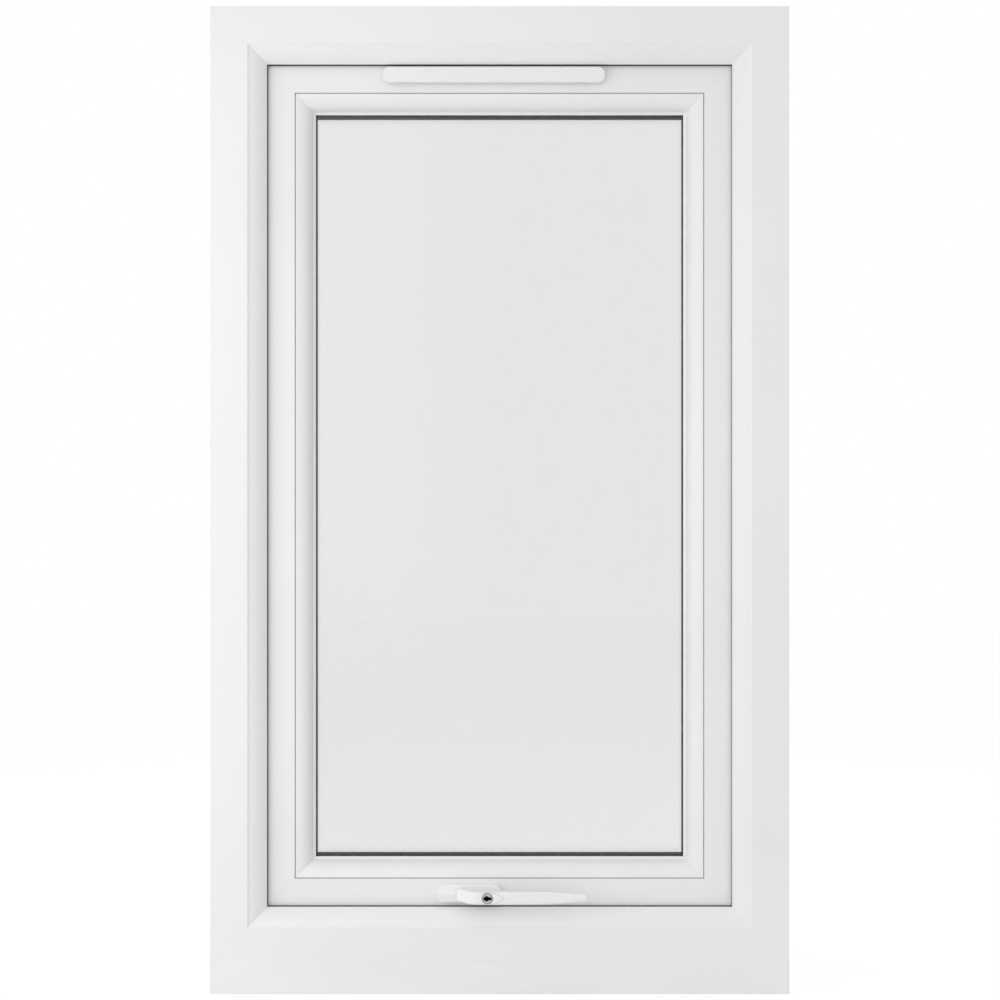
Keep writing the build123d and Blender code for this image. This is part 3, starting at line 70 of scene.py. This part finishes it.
# Stage: sizes in metres, brightness with 1 for the white background
FLOOR_SIDE = 14.0
FLOOR_WHITE = 0.75
FLOOR_GLOW = 1.09
AMBIENT = 0.775
SEEN_WHITE = 1.0
CARD_SIDE = 1.8
SIDE_FEATHER = 0.26
END_FEATHER = 0.5
CARD_WHITE = 1.5
CARD_BEHIND = 0.15


def linear(hex_colour):
    """Linear colour of an sRGB hex value."""
    channels = [int(hex_colour[i:i + 2], 16) / 255 for i in (1, 3, 5)]
    return tuple(c / 12.92 if c <= 0.04045 else ((c + 0.055) / 1.055) ** 2.4
                 for c in channels) + (1.0,)


def new_material(name):
    material = bpy.data.materials.new(name)
    material.use_nodes = True
    tree = material.node_tree
    tree.nodes.clear()
    return material, tree


def add(tree, kind, settings=None, **links):
    """Adds a node, sets its properties and sockets, and links sockets given as (node, output).

    A socket goes by its name, with _ for a space, or as i and its number where names repeat."""
    node = tree.nodes.new(kind)
    for key, value in (settings or {}).items():
        setattr(node, key, value)
    for key, value in links.items():
        by_number = key[0] == "i" and key[1:].isdigit()
        socket = node.inputs[int(key[1:]) if by_number else key.replace("_", " ")]
        if isinstance(value, tuple) and isinstance(value[0], bpy.types.Node):
            tree.links.new(value[0].outputs[value[1]], socket)
        else:
            socket.default_value = value
    return node


def per_metre(size_mm):
    """Texture scale that gives features of this size in millimetres."""
    return 1 / (size_mm * MM)


def tones(ramp, *stops):
    """Sets a colour ramp's two ends, each a place and an sRGB hex value."""
    for element, (place, hex_colour) in zip(ramp.color_ramp.elements, stops):
        element.position = place
        element.color = linear(hex_colour)


def extruded_upvc(name, along):
    """Rigid white PVC, extruded through a die: a semi-gloss skin with a faint orange peel, hair-fine
    die lines that run along the bar, edges that catch the light, and a white that drifts hardly
    visibly."""
    material, tree = new_material(name)
    place = add(tree, "ShaderNodeTexCoord")
    stretch = [1.0, 1.0, 1.0]
    stretch[along] = DIE_LINE_STRETCH
    lines_place = add(tree, "ShaderNodeMapping", Vector=(place, "Object"), Scale=stretch)
    # die lines are about 0.3 mm apart; drawn 2 mm apart so that they show at all
    lines = add(tree, "ShaderNodeTexNoise", Vector=(lines_place, "Vector"), Scale=per_metre(2.0),
                Detail=2.0)
    peel = add(tree, "ShaderNodeTexNoise", Vector=(place, "Object"), Scale=per_metre(3.0), Detail=1.0)
    drift = add(tree, "ShaderNodeTexNoise", Vector=(place, "Object"), Scale=per_metre(220.0),
                Detail=2.0)
    white = add(tree, "ShaderNodeValToRGB", Fac=(drift, "Fac"))
    tones(white, (0.3, "#F0F1F0"), (0.7, "#F3F4F3"))
    gloss = add(tree, "ShaderNodeMapRange", Value=(lines, "Fac"), To_Min=0.27, To_Max=0.3)
    edges = add(tree, "ShaderNodeBevel", {"samples": 4}, Radius=0.35 * MM)
    line_bump = add(tree, "ShaderNodeBump", Height=(lines, "Fac"), Normal=(edges, "Normal"),
                    Strength=0.001, Distance=0.05 * MM)
    bump = add(tree, "ShaderNodeBump", Height=(peel, "Fac"), Normal=(line_bump, "Normal"),
               Strength=0.05, Distance=0.05 * MM)
    shader = add(tree, "ShaderNodeBsdfPrincipled", Base_Color=(white, "Color"),
                 Roughness=(gloss, "Result"), IOR=1.53, Normal=(bump, "Normal"))
    add(tree, "ShaderNodeOutputMaterial", Surface=(shader, "BSDF"))
    return material


def moulded_abs(name):
    """White ABS, injection moulded: satin from the fine spark-eroded grain of the mould, with wide,
    very faint flow marks and softly rounded edges."""
    material, tree = new_material(name)
    place = add(tree, "ShaderNodeTexCoord")
    # spark grain is about 0.05 mm; drawn 0.7 mm wide so that it shows
    grain = add(tree, "ShaderNodeTexVoronoi", {"feature": "SMOOTH_F1"}, Vector=(place, "Object"),
                Scale=per_metre(0.7))
    flow = add(tree, "ShaderNodeTexNoise", Vector=(place, "Object"), Scale=per_metre(45.0), Detail=2.0,
               Distortion=1.5)
    white = add(tree, "ShaderNodeValToRGB", Fac=(flow, "Fac"))
    tones(white, (0.3, "#F0F1F1"), (0.7, "#F3F3F3"))
    gloss = add(tree, "ShaderNodeMapRange", Value=(flow, "Fac"), To_Min=0.3, To_Max=0.38)
    edges = add(tree, "ShaderNodeBevel", {"samples": 4}, Radius=0.5 * MM)
    bump = add(tree, "ShaderNodeBump", Height=(grain, "Distance"), Normal=(edges, "Normal"),
               Strength=0.05, Distance=0.03 * MM)
    shader = add(tree, "ShaderNodeBsdfPrincipled", Base_Color=(white, "Color"),
                 Roughness=(gloss, "Result"), IOR=1.54, Normal=(bump, "Normal"))
    add(tree, "ShaderNodeOutputMaterial", Surface=(shader, "BSDF"))
    return material


def powder_coated_zinc(name):
    """Die-cast zinc under white polyester powder: a smooth glossy film with the shallow, even orange
    peel of melted powder, a little cooler than the plastic beside it."""
    material, tree = new_material(name)
    place = add(tree, "ShaderNodeTexCoord")
    peel = add(tree, "ShaderNodeTexNoise", Vector=(place, "Object"), Scale=per_metre(2.2), Detail=1.0)
    cloud = add(tree, "ShaderNodeTexNoise", Vector=(place, "Object"), Scale=per_metre(30.0),
                Detail=2.0)
    white = add(tree, "ShaderNodeValToRGB", Fac=(cloud, "Fac"))
    tones(white, (0.3, "#F2F3F4"), (0.7, "#F5F6F6"))
    gloss = add(tree, "ShaderNodeMapRange", Value=(peel, "Fac"), To_Min=0.2, To_Max=0.28)
    edges = add(tree, "ShaderNodeBevel", {"samples": 4}, Radius=0.4 * MM)
    bump = add(tree, "ShaderNodeBump", Height=(peel, "Fac"), Normal=(edges, "Normal"), Strength=0.06,
               Distance=0.05 * MM)
    shader = add(tree, "ShaderNodeBsdfPrincipled", Base_Color=(white, "Color"),
                 Roughness=(gloss, "Result"), IOR=1.5, Normal=(bump, "Normal"))
    add(tree, "ShaderNodeOutputMaterial", Surface=(shader, "BSDF"))
    return material


def brushed_stainless(name):
    """Cold-rolled stainless strip, brushed along its length: grey streaks a few tenths of a
    millimetre wide, a long soft highlight across them, and slightly duller patches from handling."""
    material, tree = new_material(name)
    place = add(tree, "ShaderNodeTexCoord")
    along = add(tree, "ShaderNodeMapping", Vector=(place, "Object"),
                Scale=(1.0, 1.0, BRUSH_MARK_STRETCH))
    # brush marks are about 0.1 mm wide; drawn 0.5 mm wide so that they show
    marks = add(tree, "ShaderNodeTexNoise", Vector=(along, "Vector"), Scale=per_metre(0.5), Detail=3.0)
    patches = add(tree, "ShaderNodeTexNoise", Vector=(place, "Object"), Scale=per_metre(25.0),
                  Detail=3.0)
    steel = add(tree, "ShaderNodeValToRGB", Fac=(marks, "Fac"))
    tones(steel, (0.3, "#B4B3B0"), (0.7, "#CCCBC8"))
    streaks = add(tree, "ShaderNodeMapRange", Value=(marks, "Fac"), To_Min=0.26, To_Max=0.4)
    dull = add(tree, "ShaderNodeMapRange", Value=(patches, "Fac"), To_Min=-0.03, To_Max=0.06)
    gloss = add(tree, "ShaderNodeMath", {"operation": "ADD"}, i0=(streaks, "Result"),
                i1=(dull, "Result"))
    edges = add(tree, "ShaderNodeBevel", {"samples": 4}, Radius=0.25 * MM)
    bump = add(tree, "ShaderNodeBump", Height=(marks, "Fac"), Normal=(edges, "Normal"), Strength=0.06,
               Distance=0.02 * MM)
    shader = add(tree, "ShaderNodeBsdfPrincipled", Base_Color=(steel, "Color"),
                 Roughness=(gloss, "Value"), Metallic=1.0, Anisotropic=0.4, Normal=(bump, "Normal"))
    add(tree, "ShaderNodeOutputMaterial", Surface=(shader, "BSDF"))
    return material


def nickel_plated_brass(name, low, high):
    """Brass turned on a lathe and nickel plated: bright, with fine rings round its axis and a face
    painted greyer towards its rim as shade of the edge; the keyway and its broken edge are painted
    dull and nearly black, as painted shade of the deep keyway."""
    material, tree = new_material(name)
    place = add(tree, "ShaderNodeTexCoord")
    radius = (high.x - low.x) / 2
    flat = add(tree, "ShaderNodeMapping", Vector=(place, "Object"), Scale=(1.0, 0.0, 1.0),
               Location=(-(low.x + high.x) / 2, 0.0, -(low.z + high.z) / 2))
    # turning rings are about 0.1 mm apart; drawn 1.2 mm apart so that they show
    rings = add(tree, "ShaderNodeTexWave", {"wave_type": "RINGS", "rings_direction": "Y"},
                Vector=(flat, "Vector"), Scale=per_metre(1.2) * 2 * pi / RING_TURN, Distortion=0.4)
    out = add(tree, "ShaderNodeVectorMath", {"operation": "LENGTH"}, i0=(flat, "Vector"))
    # painted shade: the plate greys over its last 1.6 mm towards the rim, standing in for the shade of
    # its edge
    rim_shade = add(tree, "ShaderNodeMapRange", Value=(out, "Value"), From_Min=radius - 1.6 * MM,
              From_Max=radius - 0.3 * MM)
    # distance from the keyway's slot and bulb, whichever is nearer
    slot = add(tree, "ShaderNodeVectorMath", {"operation": "ABSOLUTE"}, i0=(flat, "Vector"))
    slot = add(tree, "ShaderNodeVectorMath", {"operation": "SUBTRACT"}, i0=(slot, "Vector"),
               i1=((KEYWAY_LENGTH - KEYWAY_HEIGHT) / 2, 0.0, 0.0))
    slot = add(tree, "ShaderNodeVectorMath", {"operation": "MAXIMUM"}, i0=(slot, "Vector"),
               i1=(0.0, 0.0, 0.0))
    slot = add(tree, "ShaderNodeVectorMath", {"operation": "LENGTH"}, i0=(slot, "Vector"))
    slot = add(tree, "ShaderNodeMath", {"operation": "SUBTRACT"}, i0=(slot, "Value"),
               i1=KEYWAY_HEIGHT / 2)
    bulb = add(tree, "ShaderNodeVectorMath", {"operation": "DISTANCE"}, i0=(flat, "Vector"),
               i1=(-BULB_OFFSET, 0.0, 0.0))
    bulb = add(tree, "ShaderNodeMath", {"operation": "SUBTRACT"}, i0=(bulb, "Value"), i1=BULB_RADIUS)
    gap = add(tree, "ShaderNodeMath", {"operation": "MINIMUM"}, i0=(slot, "Value"),
              i1=(bulb, "Value"))
    # painted shade: the keyway and 0.2 to 0.5 mm round it are painted nearly black, dull and not
    # metallic
    keyway_shade = add(tree, "ShaderNodeMapRange", Value=(gap, "Value"), From_Min=0.2 * MM,
                 From_Max=0.5 * MM, To_Min=1.0, To_Max=0.0)
    outside_keyway_shade = add(tree, "ShaderNodeMapRange", Value=(gap, "Value"), From_Min=0.2 * MM,
                 From_Max=0.5 * MM)
    plate = add(tree, "ShaderNodeValToRGB", Fac=(rings, "Fac"))
    tones(plate, (0.0, "#B4B4B5"), (1.0, "#D2D2D2"))
    shaded_rim_plate = add(tree, "ShaderNodeMix", {"data_type": "RGBA"}, Factor=(rim_shade, "Result"),
               i6=(plate, "Color"), i7=linear("#858583"))
    colour = add(tree, "ShaderNodeMix", {"data_type": "RGBA"}, Factor=(keyway_shade, "Result"),
                 i6=(shaded_rim_plate, "Result"), i7=linear("#0A0A0B"))
    shine = add(tree, "ShaderNodeMapRange", Value=(rings, "Fac"), To_Min=0.16, To_Max=0.26)
    gloss = add(tree, "ShaderNodeMath", {"operation": "MAXIMUM"}, i0=(shine, "Result"),
                i1=(keyway_shade, "Result"))
    edges = add(tree, "ShaderNodeBevel", {"samples": 4}, Radius=0.4 * MM)
    bump = add(tree, "ShaderNodeBump", Height=(rings, "Fac"), Normal=(edges, "Normal"), Strength=0.08,
               Distance=0.02 * MM)
    shader = add(tree, "ShaderNodeBsdfPrincipled", Base_Color=(colour, "Result"),
                 Roughness=(gloss, "Value"), Metallic=(outside_keyway_shade, "Result"), Normal=(bump, "Normal"))
    add(tree, "ShaderNodeOutputMaterial", Surface=(shader, "BSDF"))
    return material


def cast_zinc(name):
    """Pressure die-cast zinc, left bare: dull blue-grey with a grainy skin and cloudy patches where
    it has started to dull over."""
    material, tree = new_material(name)
    place = add(tree, "ShaderNodeTexCoord")
    grain = add(tree, "ShaderNodeTexNoise", Vector=(place, "Object"), Scale=per_metre(0.6), Detail=3.0)
    patches = add(tree, "ShaderNodeTexNoise", Vector=(place, "Object"), Scale=per_metre(9.0),
                  Detail=3.0)
    zinc = add(tree, "ShaderNodeValToRGB", Fac=(patches, "Fac"))
    tones(zinc, (0.35, "#84878B"), (0.7, "#A3A5A8"))
    gloss = add(tree, "ShaderNodeMapRange", Value=(patches, "Fac"), To_Min=0.38, To_Max=0.6)
    edges = add(tree, "ShaderNodeBevel", {"samples": 4}, Radius=0.3 * MM)
    bump = add(tree, "ShaderNodeBump", Height=(grain, "Fac"), Normal=(edges, "Normal"), Strength=0.15,
               Distance=0.05 * MM)
    shader = add(tree, "ShaderNodeBsdfPrincipled", Base_Color=(zinc, "Color"),
                 Roughness=(gloss, "Result"), Metallic=1.0, Normal=(bump, "Normal"))
    add(tree, "ShaderNodeOutputMaterial", Surface=(shader, "BSDF"))
    return material


def extruded_epdm(name, fresh, bloomed):
    """EPDM rubber, extruded and cured: soft and matt, with a slight grain and paler patches of bloom
    that rub off."""
    material, tree = new_material(name)
    place = add(tree, "ShaderNodeTexCoord")
    grain = add(tree, "ShaderNodeTexNoise", Vector=(place, "Object"), Scale=per_metre(0.5), Detail=2.0)
    bloom = add(tree, "ShaderNodeTexNoise", Vector=(place, "Object"), Scale=per_metre(60.0),
                Detail=3.0)
    rubber = add(tree, "ShaderNodeValToRGB", Fac=(bloom, "Fac"))
    tones(rubber, (0.35, fresh), (0.75, bloomed))
    gloss = add(tree, "ShaderNodeMapRange", Value=(grain, "Fac"), To_Min=0.65, To_Max=0.8)
    bump = add(tree, "ShaderNodeBump", Height=(grain, "Fac"), Strength=0.12, Distance=0.04 * MM)
    shader = add(tree, "ShaderNodeBsdfPrincipled", Base_Color=(rubber, "Color"),
                 Roughness=(gloss, "Result"), IOR=1.45, Specular_IOR_Level=0.2,
                 Normal=(bump, "Normal"))
    add(tree, "ShaderNodeOutputMaterial", Surface=(shader, "BSDF"))
    return material


def float_glass(name):
    """Clear float glass: flat and bright, a trace of grey in what is seen through it, and a wide,
    hardly visible wave in its reflections from the toughening rollers."""
    material, tree = new_material(name)
    place = add(tree, "ShaderNodeTexCoord")
    wave = add(tree, "ShaderNodeTexNoise", Vector=(place, "Object"), Scale=per_metre(260.0),
               Detail=0.0)
    film = add(tree, "ShaderNodeTexNoise", Vector=(place, "Object"), Scale=per_metre(120.0),
               Detail=3.0)
    gloss = add(tree, "ShaderNodeMapRange", Value=(film, "Fac"), From_Min=0.4, From_Max=0.8,
                To_Min=0.0, To_Max=0.02)
    bump = add(tree, "ShaderNodeBump", Height=(wave, "Fac"), Strength=0.05, Distance=0.05 * MM)
    shader = add(tree, "ShaderNodeBsdfPrincipled", Base_Color=linear("#F1F1F1"),
                 Roughness=(gloss, "Result"), IOR=1.52, Specular_IOR_Level=0.4,
                 Transmission_Weight=1.0, Normal=(bump, "Normal"))
    add(tree, "ShaderNodeOutputMaterial", Surface=(shader, "BSDF"))
    return material


def black_anodised_aluminium(name, middle_y):
    """Aluminium spacer tube, roll formed and anodised black: a deep grey oxide skin with rolling
    lines, and a row of small breather slots along the middle of its face that let the drying agent
    work, each a shallow dent painted near black as painted shade inside the slot."""
    material, tree = new_material(name)
    place = add(tree, "ShaderNodeTexCoord")
    rolled = add(tree, "ShaderNodeTexNoise", Vector=(place, "Object"), Scale=per_metre(4.0),
                 Detail=3.0)
    # slots are about 1 mm long and 2 mm apart; drawn every 5 mm so that they show
    pitch = add(tree, "ShaderNodeTexWave", {"wave_type": "BANDS", "bands_direction": "DIAGONAL"},
                Vector=(place, "Object"), Scale=per_metre(5.0) * 2 * pi / SLANT_TURN)
    slot = add(tree, "ShaderNodeMapRange", Value=(pitch, "Fac"), From_Min=0.55, From_Max=0.75)
    across = add(tree, "ShaderNodeSeparateXYZ", Vector=(place, "Object"))
    offset = add(tree, "ShaderNodeMath", {"operation": "SUBTRACT"}, i0=(across, "Y"), i1=middle_y)
    offset = add(tree, "ShaderNodeMath", {"operation": "ABSOLUTE"}, i0=(offset, "Value"))
    row = add(tree, "ShaderNodeMapRange", Value=(offset, "Value"), From_Min=0.5 * MM,
              From_Max=0.8 * MM, To_Min=1.0, To_Max=0.0)
    # painted shade: the breather slots are painted near black, with a shallow dent for their edge
    slot_and_shade = add(tree, "ShaderNodeMath", {"operation": "MULTIPLY"}, i0=(slot, "Result"),
               i1=(row, "Result"))
    strip = add(tree, "ShaderNodeValToRGB", Fac=(rolled, "Fac"))
    tones(strip, (0.3, "#1A1B1B"), (0.7, "#262727"))
    colour = add(tree, "ShaderNodeMix", {"data_type": "RGBA"}, Factor=(slot_and_shade, "Value"),
                 i6=(strip, "Color"), i7=linear("#060606"))
    gloss = add(tree, "ShaderNodeMapRange", Value=(rolled, "Fac"), To_Min=0.5, To_Max=0.64)
    bump = add(tree, "ShaderNodeBump", {"invert": True}, Height=(slot_and_shade, "Value"), Strength=0.4,
               Distance=0.2 * MM)
    shader = add(tree, "ShaderNodeBsdfPrincipled", Base_Color=(colour, "Result"),
                 Roughness=(gloss, "Result"), IOR=1.6, Specular_IOR_Level=0.3,
                 Normal=(bump, "Normal"))
    add(tree, "ShaderNodeOutputMaterial", Surface=(shader, "BSDF"))
    return material


def polysulphide_sealant(name):
    """Two-part polysulphide, gunned in and tooled off: charcoal grey, matt and softly uneven."""
    material, tree = new_material(name)
    place = add(tree, "ShaderNodeTexCoord")
    lumps = add(tree, "ShaderNodeTexNoise", Vector=(place, "Object"), Scale=per_metre(7.0), Detail=3.0)
    grey = add(tree, "ShaderNodeValToRGB", Fac=(lumps, "Fac"))
    tones(grey, (0.3, "#232425"), (0.7, "#303132"))
    gloss = add(tree, "ShaderNodeMapRange", Value=(lumps, "Fac"), To_Min=0.55, To_Max=0.75)
    bump = add(tree, "ShaderNodeBump", Height=(lumps, "Fac"), Strength=0.3, Distance=0.2 * MM)
    shader = add(tree, "ShaderNodeBsdfPrincipled", Base_Color=(grey, "Color"),
                 Roughness=(gloss, "Result"), Normal=(bump, "Normal"))
    add(tree, "ShaderNodeOutputMaterial", Surface=(shader, "BSDF"))
    return material


def moulded_polypropylene(name):
    """Polypropylene, injection moulded in blue-grey: waxy, half dull, with faint swirls of the
    colour."""
    material, tree = new_material(name)
    place = add(tree, "ShaderNodeTexCoord")
    swirl = add(tree, "ShaderNodeTexNoise", Vector=(place, "Object"), Scale=per_metre(14.0),
                Detail=3.0, Distortion=2.0)
    grain = add(tree, "ShaderNodeTexNoise", Vector=(place, "Object"), Scale=per_metre(0.6), Detail=2.0)
    colour = add(tree, "ShaderNodeValToRGB", Fac=(swirl, "Fac"))
    tones(colour, (0.3, "#4B5661"), (0.7, "#5A6570"))
    gloss = add(tree, "ShaderNodeMapRange", Value=(grain, "Fac"), To_Min=0.4, To_Max=0.55)
    edges = add(tree, "ShaderNodeBevel", {"samples": 4}, Radius=0.3 * MM)
    bump = add(tree, "ShaderNodeBump", Height=(grain, "Fac"), Normal=(edges, "Normal"), Strength=0.08,
               Distance=0.03 * MM)
    shader = add(tree, "ShaderNodeBsdfPrincipled", Base_Color=(colour, "Color"),
                 Roughness=(gloss, "Result"), IOR=1.49, Normal=(bump, "Normal"))
    add(tree, "ShaderNodeOutputMaterial", Surface=(shader, "BSDF"))
    return material


def black_nylon(name):
    """Glass-filled nylon, injection moulded black: satin, with the pale specks of fibres at its
    skin."""
    material, tree = new_material(name)
    place = add(tree, "ShaderNodeTexCoord")
    # fibres are about 0.3 mm long; drawn 0.8 mm so that they show
    fibres = add(tree, "ShaderNodeTexVoronoi", Vector=(place, "Object"), Scale=per_metre(0.8))
    cloud = add(tree, "ShaderNodeTexNoise", Vector=(place, "Object"), Scale=per_metre(6.0), Detail=3.0)
    colour = add(tree, "ShaderNodeValToRGB", Fac=(fibres, "Distance"))
    tones(colour, (0.05, "#3A3B3C"), (0.3, "#242526"))
    gloss = add(tree, "ShaderNodeMapRange", Value=(cloud, "Fac"), To_Min=0.38, To_Max=0.52)
    edges = add(tree, "ShaderNodeBevel", {"samples": 4}, Radius=0.3 * MM)
    bump = add(tree, "ShaderNodeBump", Height=(fibres, "Distance"), Normal=(edges, "Normal"),
               Strength=0.1, Distance=0.03 * MM)
    shader = add(tree, "ShaderNodeBsdfPrincipled", Base_Color=(colour, "Color"),
                 Roughness=(gloss, "Result"), IOR=1.53, Normal=(bump, "Normal"))
    add(tree, "ShaderNodeOutputMaterial", Surface=(shader, "BSDF"))
    return material


# Finish of each slot
spacer_low, spacer_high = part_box("spacer_bar")
FINISHES = {
    "upvc_white": moulded_abs("moulded_abs"),
    "handle_white": powder_coated_zinc("powder_coated_zinc"),
    "stainless_steel": brushed_stainless("brushed_stainless"),
    "key_chrome": nickel_plated_brass("nickel_plated_brass", *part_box("key_barrel")),
    "zinc_casting": cast_zinc("cast_zinc"),
    "black_rubber": extruded_epdm("black_epdm", "#111312", "#1B1D1C"),
    "clear_glass": float_glass("float_glass"),
    "spacer_aluminium": black_anodised_aluminium("black_anodised_aluminium",
                                                 (spacer_low.y + spacer_high.y) / 2),
    "edge_sealant": polysulphide_sealant("polysulphide_sealant"),
    "packer_plastic": moulded_polypropylene("moulded_polypropylene"),
    "stay_plastic": black_nylon("black_nylon"),
}
# Pieces with a finish of their own: bars by the way their die lines run, and the grey seals
PIECE_FINISHES = {
    extruded_upvc("extruded_upvc_across", 0): (
        "frame_head", "frame_bottom", "sash_top_rail", "sash_bottom_rail", "bead_top", "bead_bottom",
        "sill"),
    extruded_upvc("extruded_upvc_upright", 2): (
        "frame_jamb_left", "frame_jamb_right", "sash_stile_left", "sash_stile_right", "bead_left",
        "bead_right"),
    extruded_epdm("grey_epdm", "#4C4E4D", "#595B5A"): ("frame_seal", "sash_seal"),
}
piece_finish = {piece: finish for finish, pieces in PIECE_FINISHES.items() for piece in pieces}
for part in frame["record"]["subparts"]:
    materials = nodes[part["node"]].data.materials
    materials.clear()
    materials.append(piece_finish.get(part["node"], FINISHES[part["material_slot"]]))


def seen_rays(tree):
    """1 for rays that carry the picture, straight, mirrored or through glass, and 0 for the rest."""
    path = add(tree, "ShaderNodeLightPath")
    seen = add(tree, "ShaderNodeMath", {"operation": "MAXIMUM"}, i0=(path, "Is Camera Ray"),
               i1=(path, "Is Glossy Ray"))
    return add(tree, "ShaderNodeMath", {"operation": "MAXIMUM"}, i0=(seen, "Value"),
               i1=(path, "Is Transmission Ray"))


def flat_square(name, corners):
    mesh = bpy.data.meshes.new(name)
    mesh.from_pydata(corners, [], [(0, 1, 2, 3)])
    square = bpy.data.objects.new(name, mesh)
    bpy.context.scene.collection.objects.link(square)
    return square


def soft_light(name, place, aim, width, height, power):
    lamp = bpy.data.lights.new(name, "AREA")
    lamp.shape = "RECTANGLE"
    lamp.size = width
    lamp.size_y = height
    lamp.energy = power
    light = bpy.data.objects.new(name, lamp)
    light.location = place
    light.rotation_euler = (Vector(aim) - Vector(place)).to_track_quat("-Z", "Y").to_euler()
    # not in the picture, nor as a hard-edged patch in or behind the glass
    light.visible_camera = light.visible_glossy = light.visible_transmission = False
    bpy.context.scene.collection.objects.link(light)


# Pale floor: mostly a white glow in the picture, so that only the window's shadow stays on it
half = FLOOR_SIDE / 2
floor = flat_square("floor", [(-half, -half, 0), (half, -half, 0), (half, half, 0),
                              (-half, half, 0)])
material, tree = new_material("pale_floor")
share = add(tree, "ShaderNodeMath", {"operation": "MULTIPLY"}, i0=(seen_rays(tree), "Value"),
            i1=FLOOR_WHITE)
paint = add(tree, "ShaderNodeBsdfDiffuse", Color=linear("#F2F2F2"))
glow = add(tree, "ShaderNodeEmission", Color=linear("#FFFFFF"), Strength=FLOOR_GLOW)
both = add(tree, "ShaderNodeMixShader", i0=(share, "Value"), i1=(paint, "BSDF"),
           i2=(glow, "Emission"))
add(tree, "ShaderNodeOutputMaterial", Surface=(both, "Shader"))
floor.data.materials.append(material)

# White surroundings, a little dimmer as light than in the picture
world = bpy.data.worlds.new("studio")
bpy.context.scene.world = world
world.use_nodes = True
tree = world.node_tree
tree.nodes.clear()
level = add(tree, "ShaderNodeMapRange", Value=(seen_rays(tree), "Value"), To_Min=AMBIENT,
            To_Max=SEEN_WHITE)
sky = add(tree, "ShaderNodeBackground", Color=linear("#FFFFFF"), Strength=(level, "Result"))
add(tree, "ShaderNodeOutputWorld", Surface=(sky, "Background"))

# Main light from the left; one beside the window for the slopes that face left, one above it for
# those that face up, and a weak one outdoors
soft_light("left_softbox", place=(-1.3, -1.0, 0.56), aim=(0, 0, 0.55),
           width=0.9, height=1.0, power=5.6)
soft_light("side_softbox", place=(-1.6, -0.25, 0.55), aim=(0, 0, 0.55),
           width=0.3, height=0.9, power=1.6)
soft_light("top_softbox", place=(0, -0.15, 3.0), aim=(0, 0, 0.3),
           width=1.0, height=0.3, power=6.5)
soft_light("outdoor_softbox", place=(1.2, 1.4, 0.9), aim=(0, 0, 0.5),
           width=0.9, height=0.9, power=3.0)

middle = (cad_low + cad_high) / 2
camera_data = bpy.data.cameras.new("camera")
camera_data.sensor_width = SENSOR
camera_data.lens = SENSOR * CAMERA_DISTANCE / (PICTURE_SIDE * PICTURE_SCALE)
camera = bpy.data.objects.new("camera", camera_data)
camera.location = (
    middle.x + (PICTURE_SIDE / 2 - WINDOW_PIXEL_X) * PICTURE_SCALE,
    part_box("frame_head")[0].y - CAMERA_DISTANCE,
    middle.z - (PICTURE_SIDE / 2 - WINDOW_PIXEL_Y) * PICTURE_SCALE,
)
camera.rotation_euler = (pi / 2, 0, 0)
bpy.context.scene.collection.objects.link(camera)
bpy.context.scene.camera = camera

# White card behind the camera on the left, feathered at its edges: the soft sheen on the glass's
# left
card_y = camera.location.y - CARD_BEHIND
card = flat_square("card", [(-CARD_SIDE, card_y, 0), (0, card_y, 0), (0, card_y, CARD_SIDE),
                            (-CARD_SIDE, card_y, CARD_SIDE)])
card.visible_camera = card.visible_diffuse = False
card.visible_transmission = card.visible_shadow = False
material, tree = new_material("white_card")
place = add(tree, "ShaderNodeTexCoord")
half = CARD_SIDE / 2
offset = add(tree, "ShaderNodeVectorMath", {"operation": "SUBTRACT"}, i0=(place, "Object"),
             i1=(-half, card_y, half))
offset = add(tree, "ShaderNodeVectorMath", {"operation": "ABSOLUTE"}, i0=(offset, "Vector"))
offset = add(tree, "ShaderNodeSeparateXYZ", Vector=(offset, "Vector"))
sides = add(tree, "ShaderNodeMapRange", {"interpolation_type": "SMOOTHSTEP"}, Value=(offset, "X"),
            From_Min=half - SIDE_FEATHER, From_Max=half, To_Min=1.0, To_Max=0.0)
ends = add(tree, "ShaderNodeMapRange", {"interpolation_type": "SMOOTHSTEP"}, Value=(offset, "Z"),
           From_Min=half - END_FEATHER, From_Max=half, To_Min=1.0, To_Max=0.0)
fade = add(tree, "ShaderNodeMath", {"operation": "MULTIPLY"}, i0=(sides, "Result"),
           i1=(ends, "Result"))
level = add(tree, "ShaderNodeMapRange", Value=(fade, "Value"), To_Min=SEEN_WHITE,
            To_Max=CARD_WHITE)
glow = add(tree, "ShaderNodeEmission", Color=linear("#FFFFFF"), Strength=(level, "Result"))
add(tree, "ShaderNodeOutputMaterial", Surface=(glow, "Emission"))
card.data.materials.append(material)
bpy.context.scene.view_settings.view_transform = "Standard"
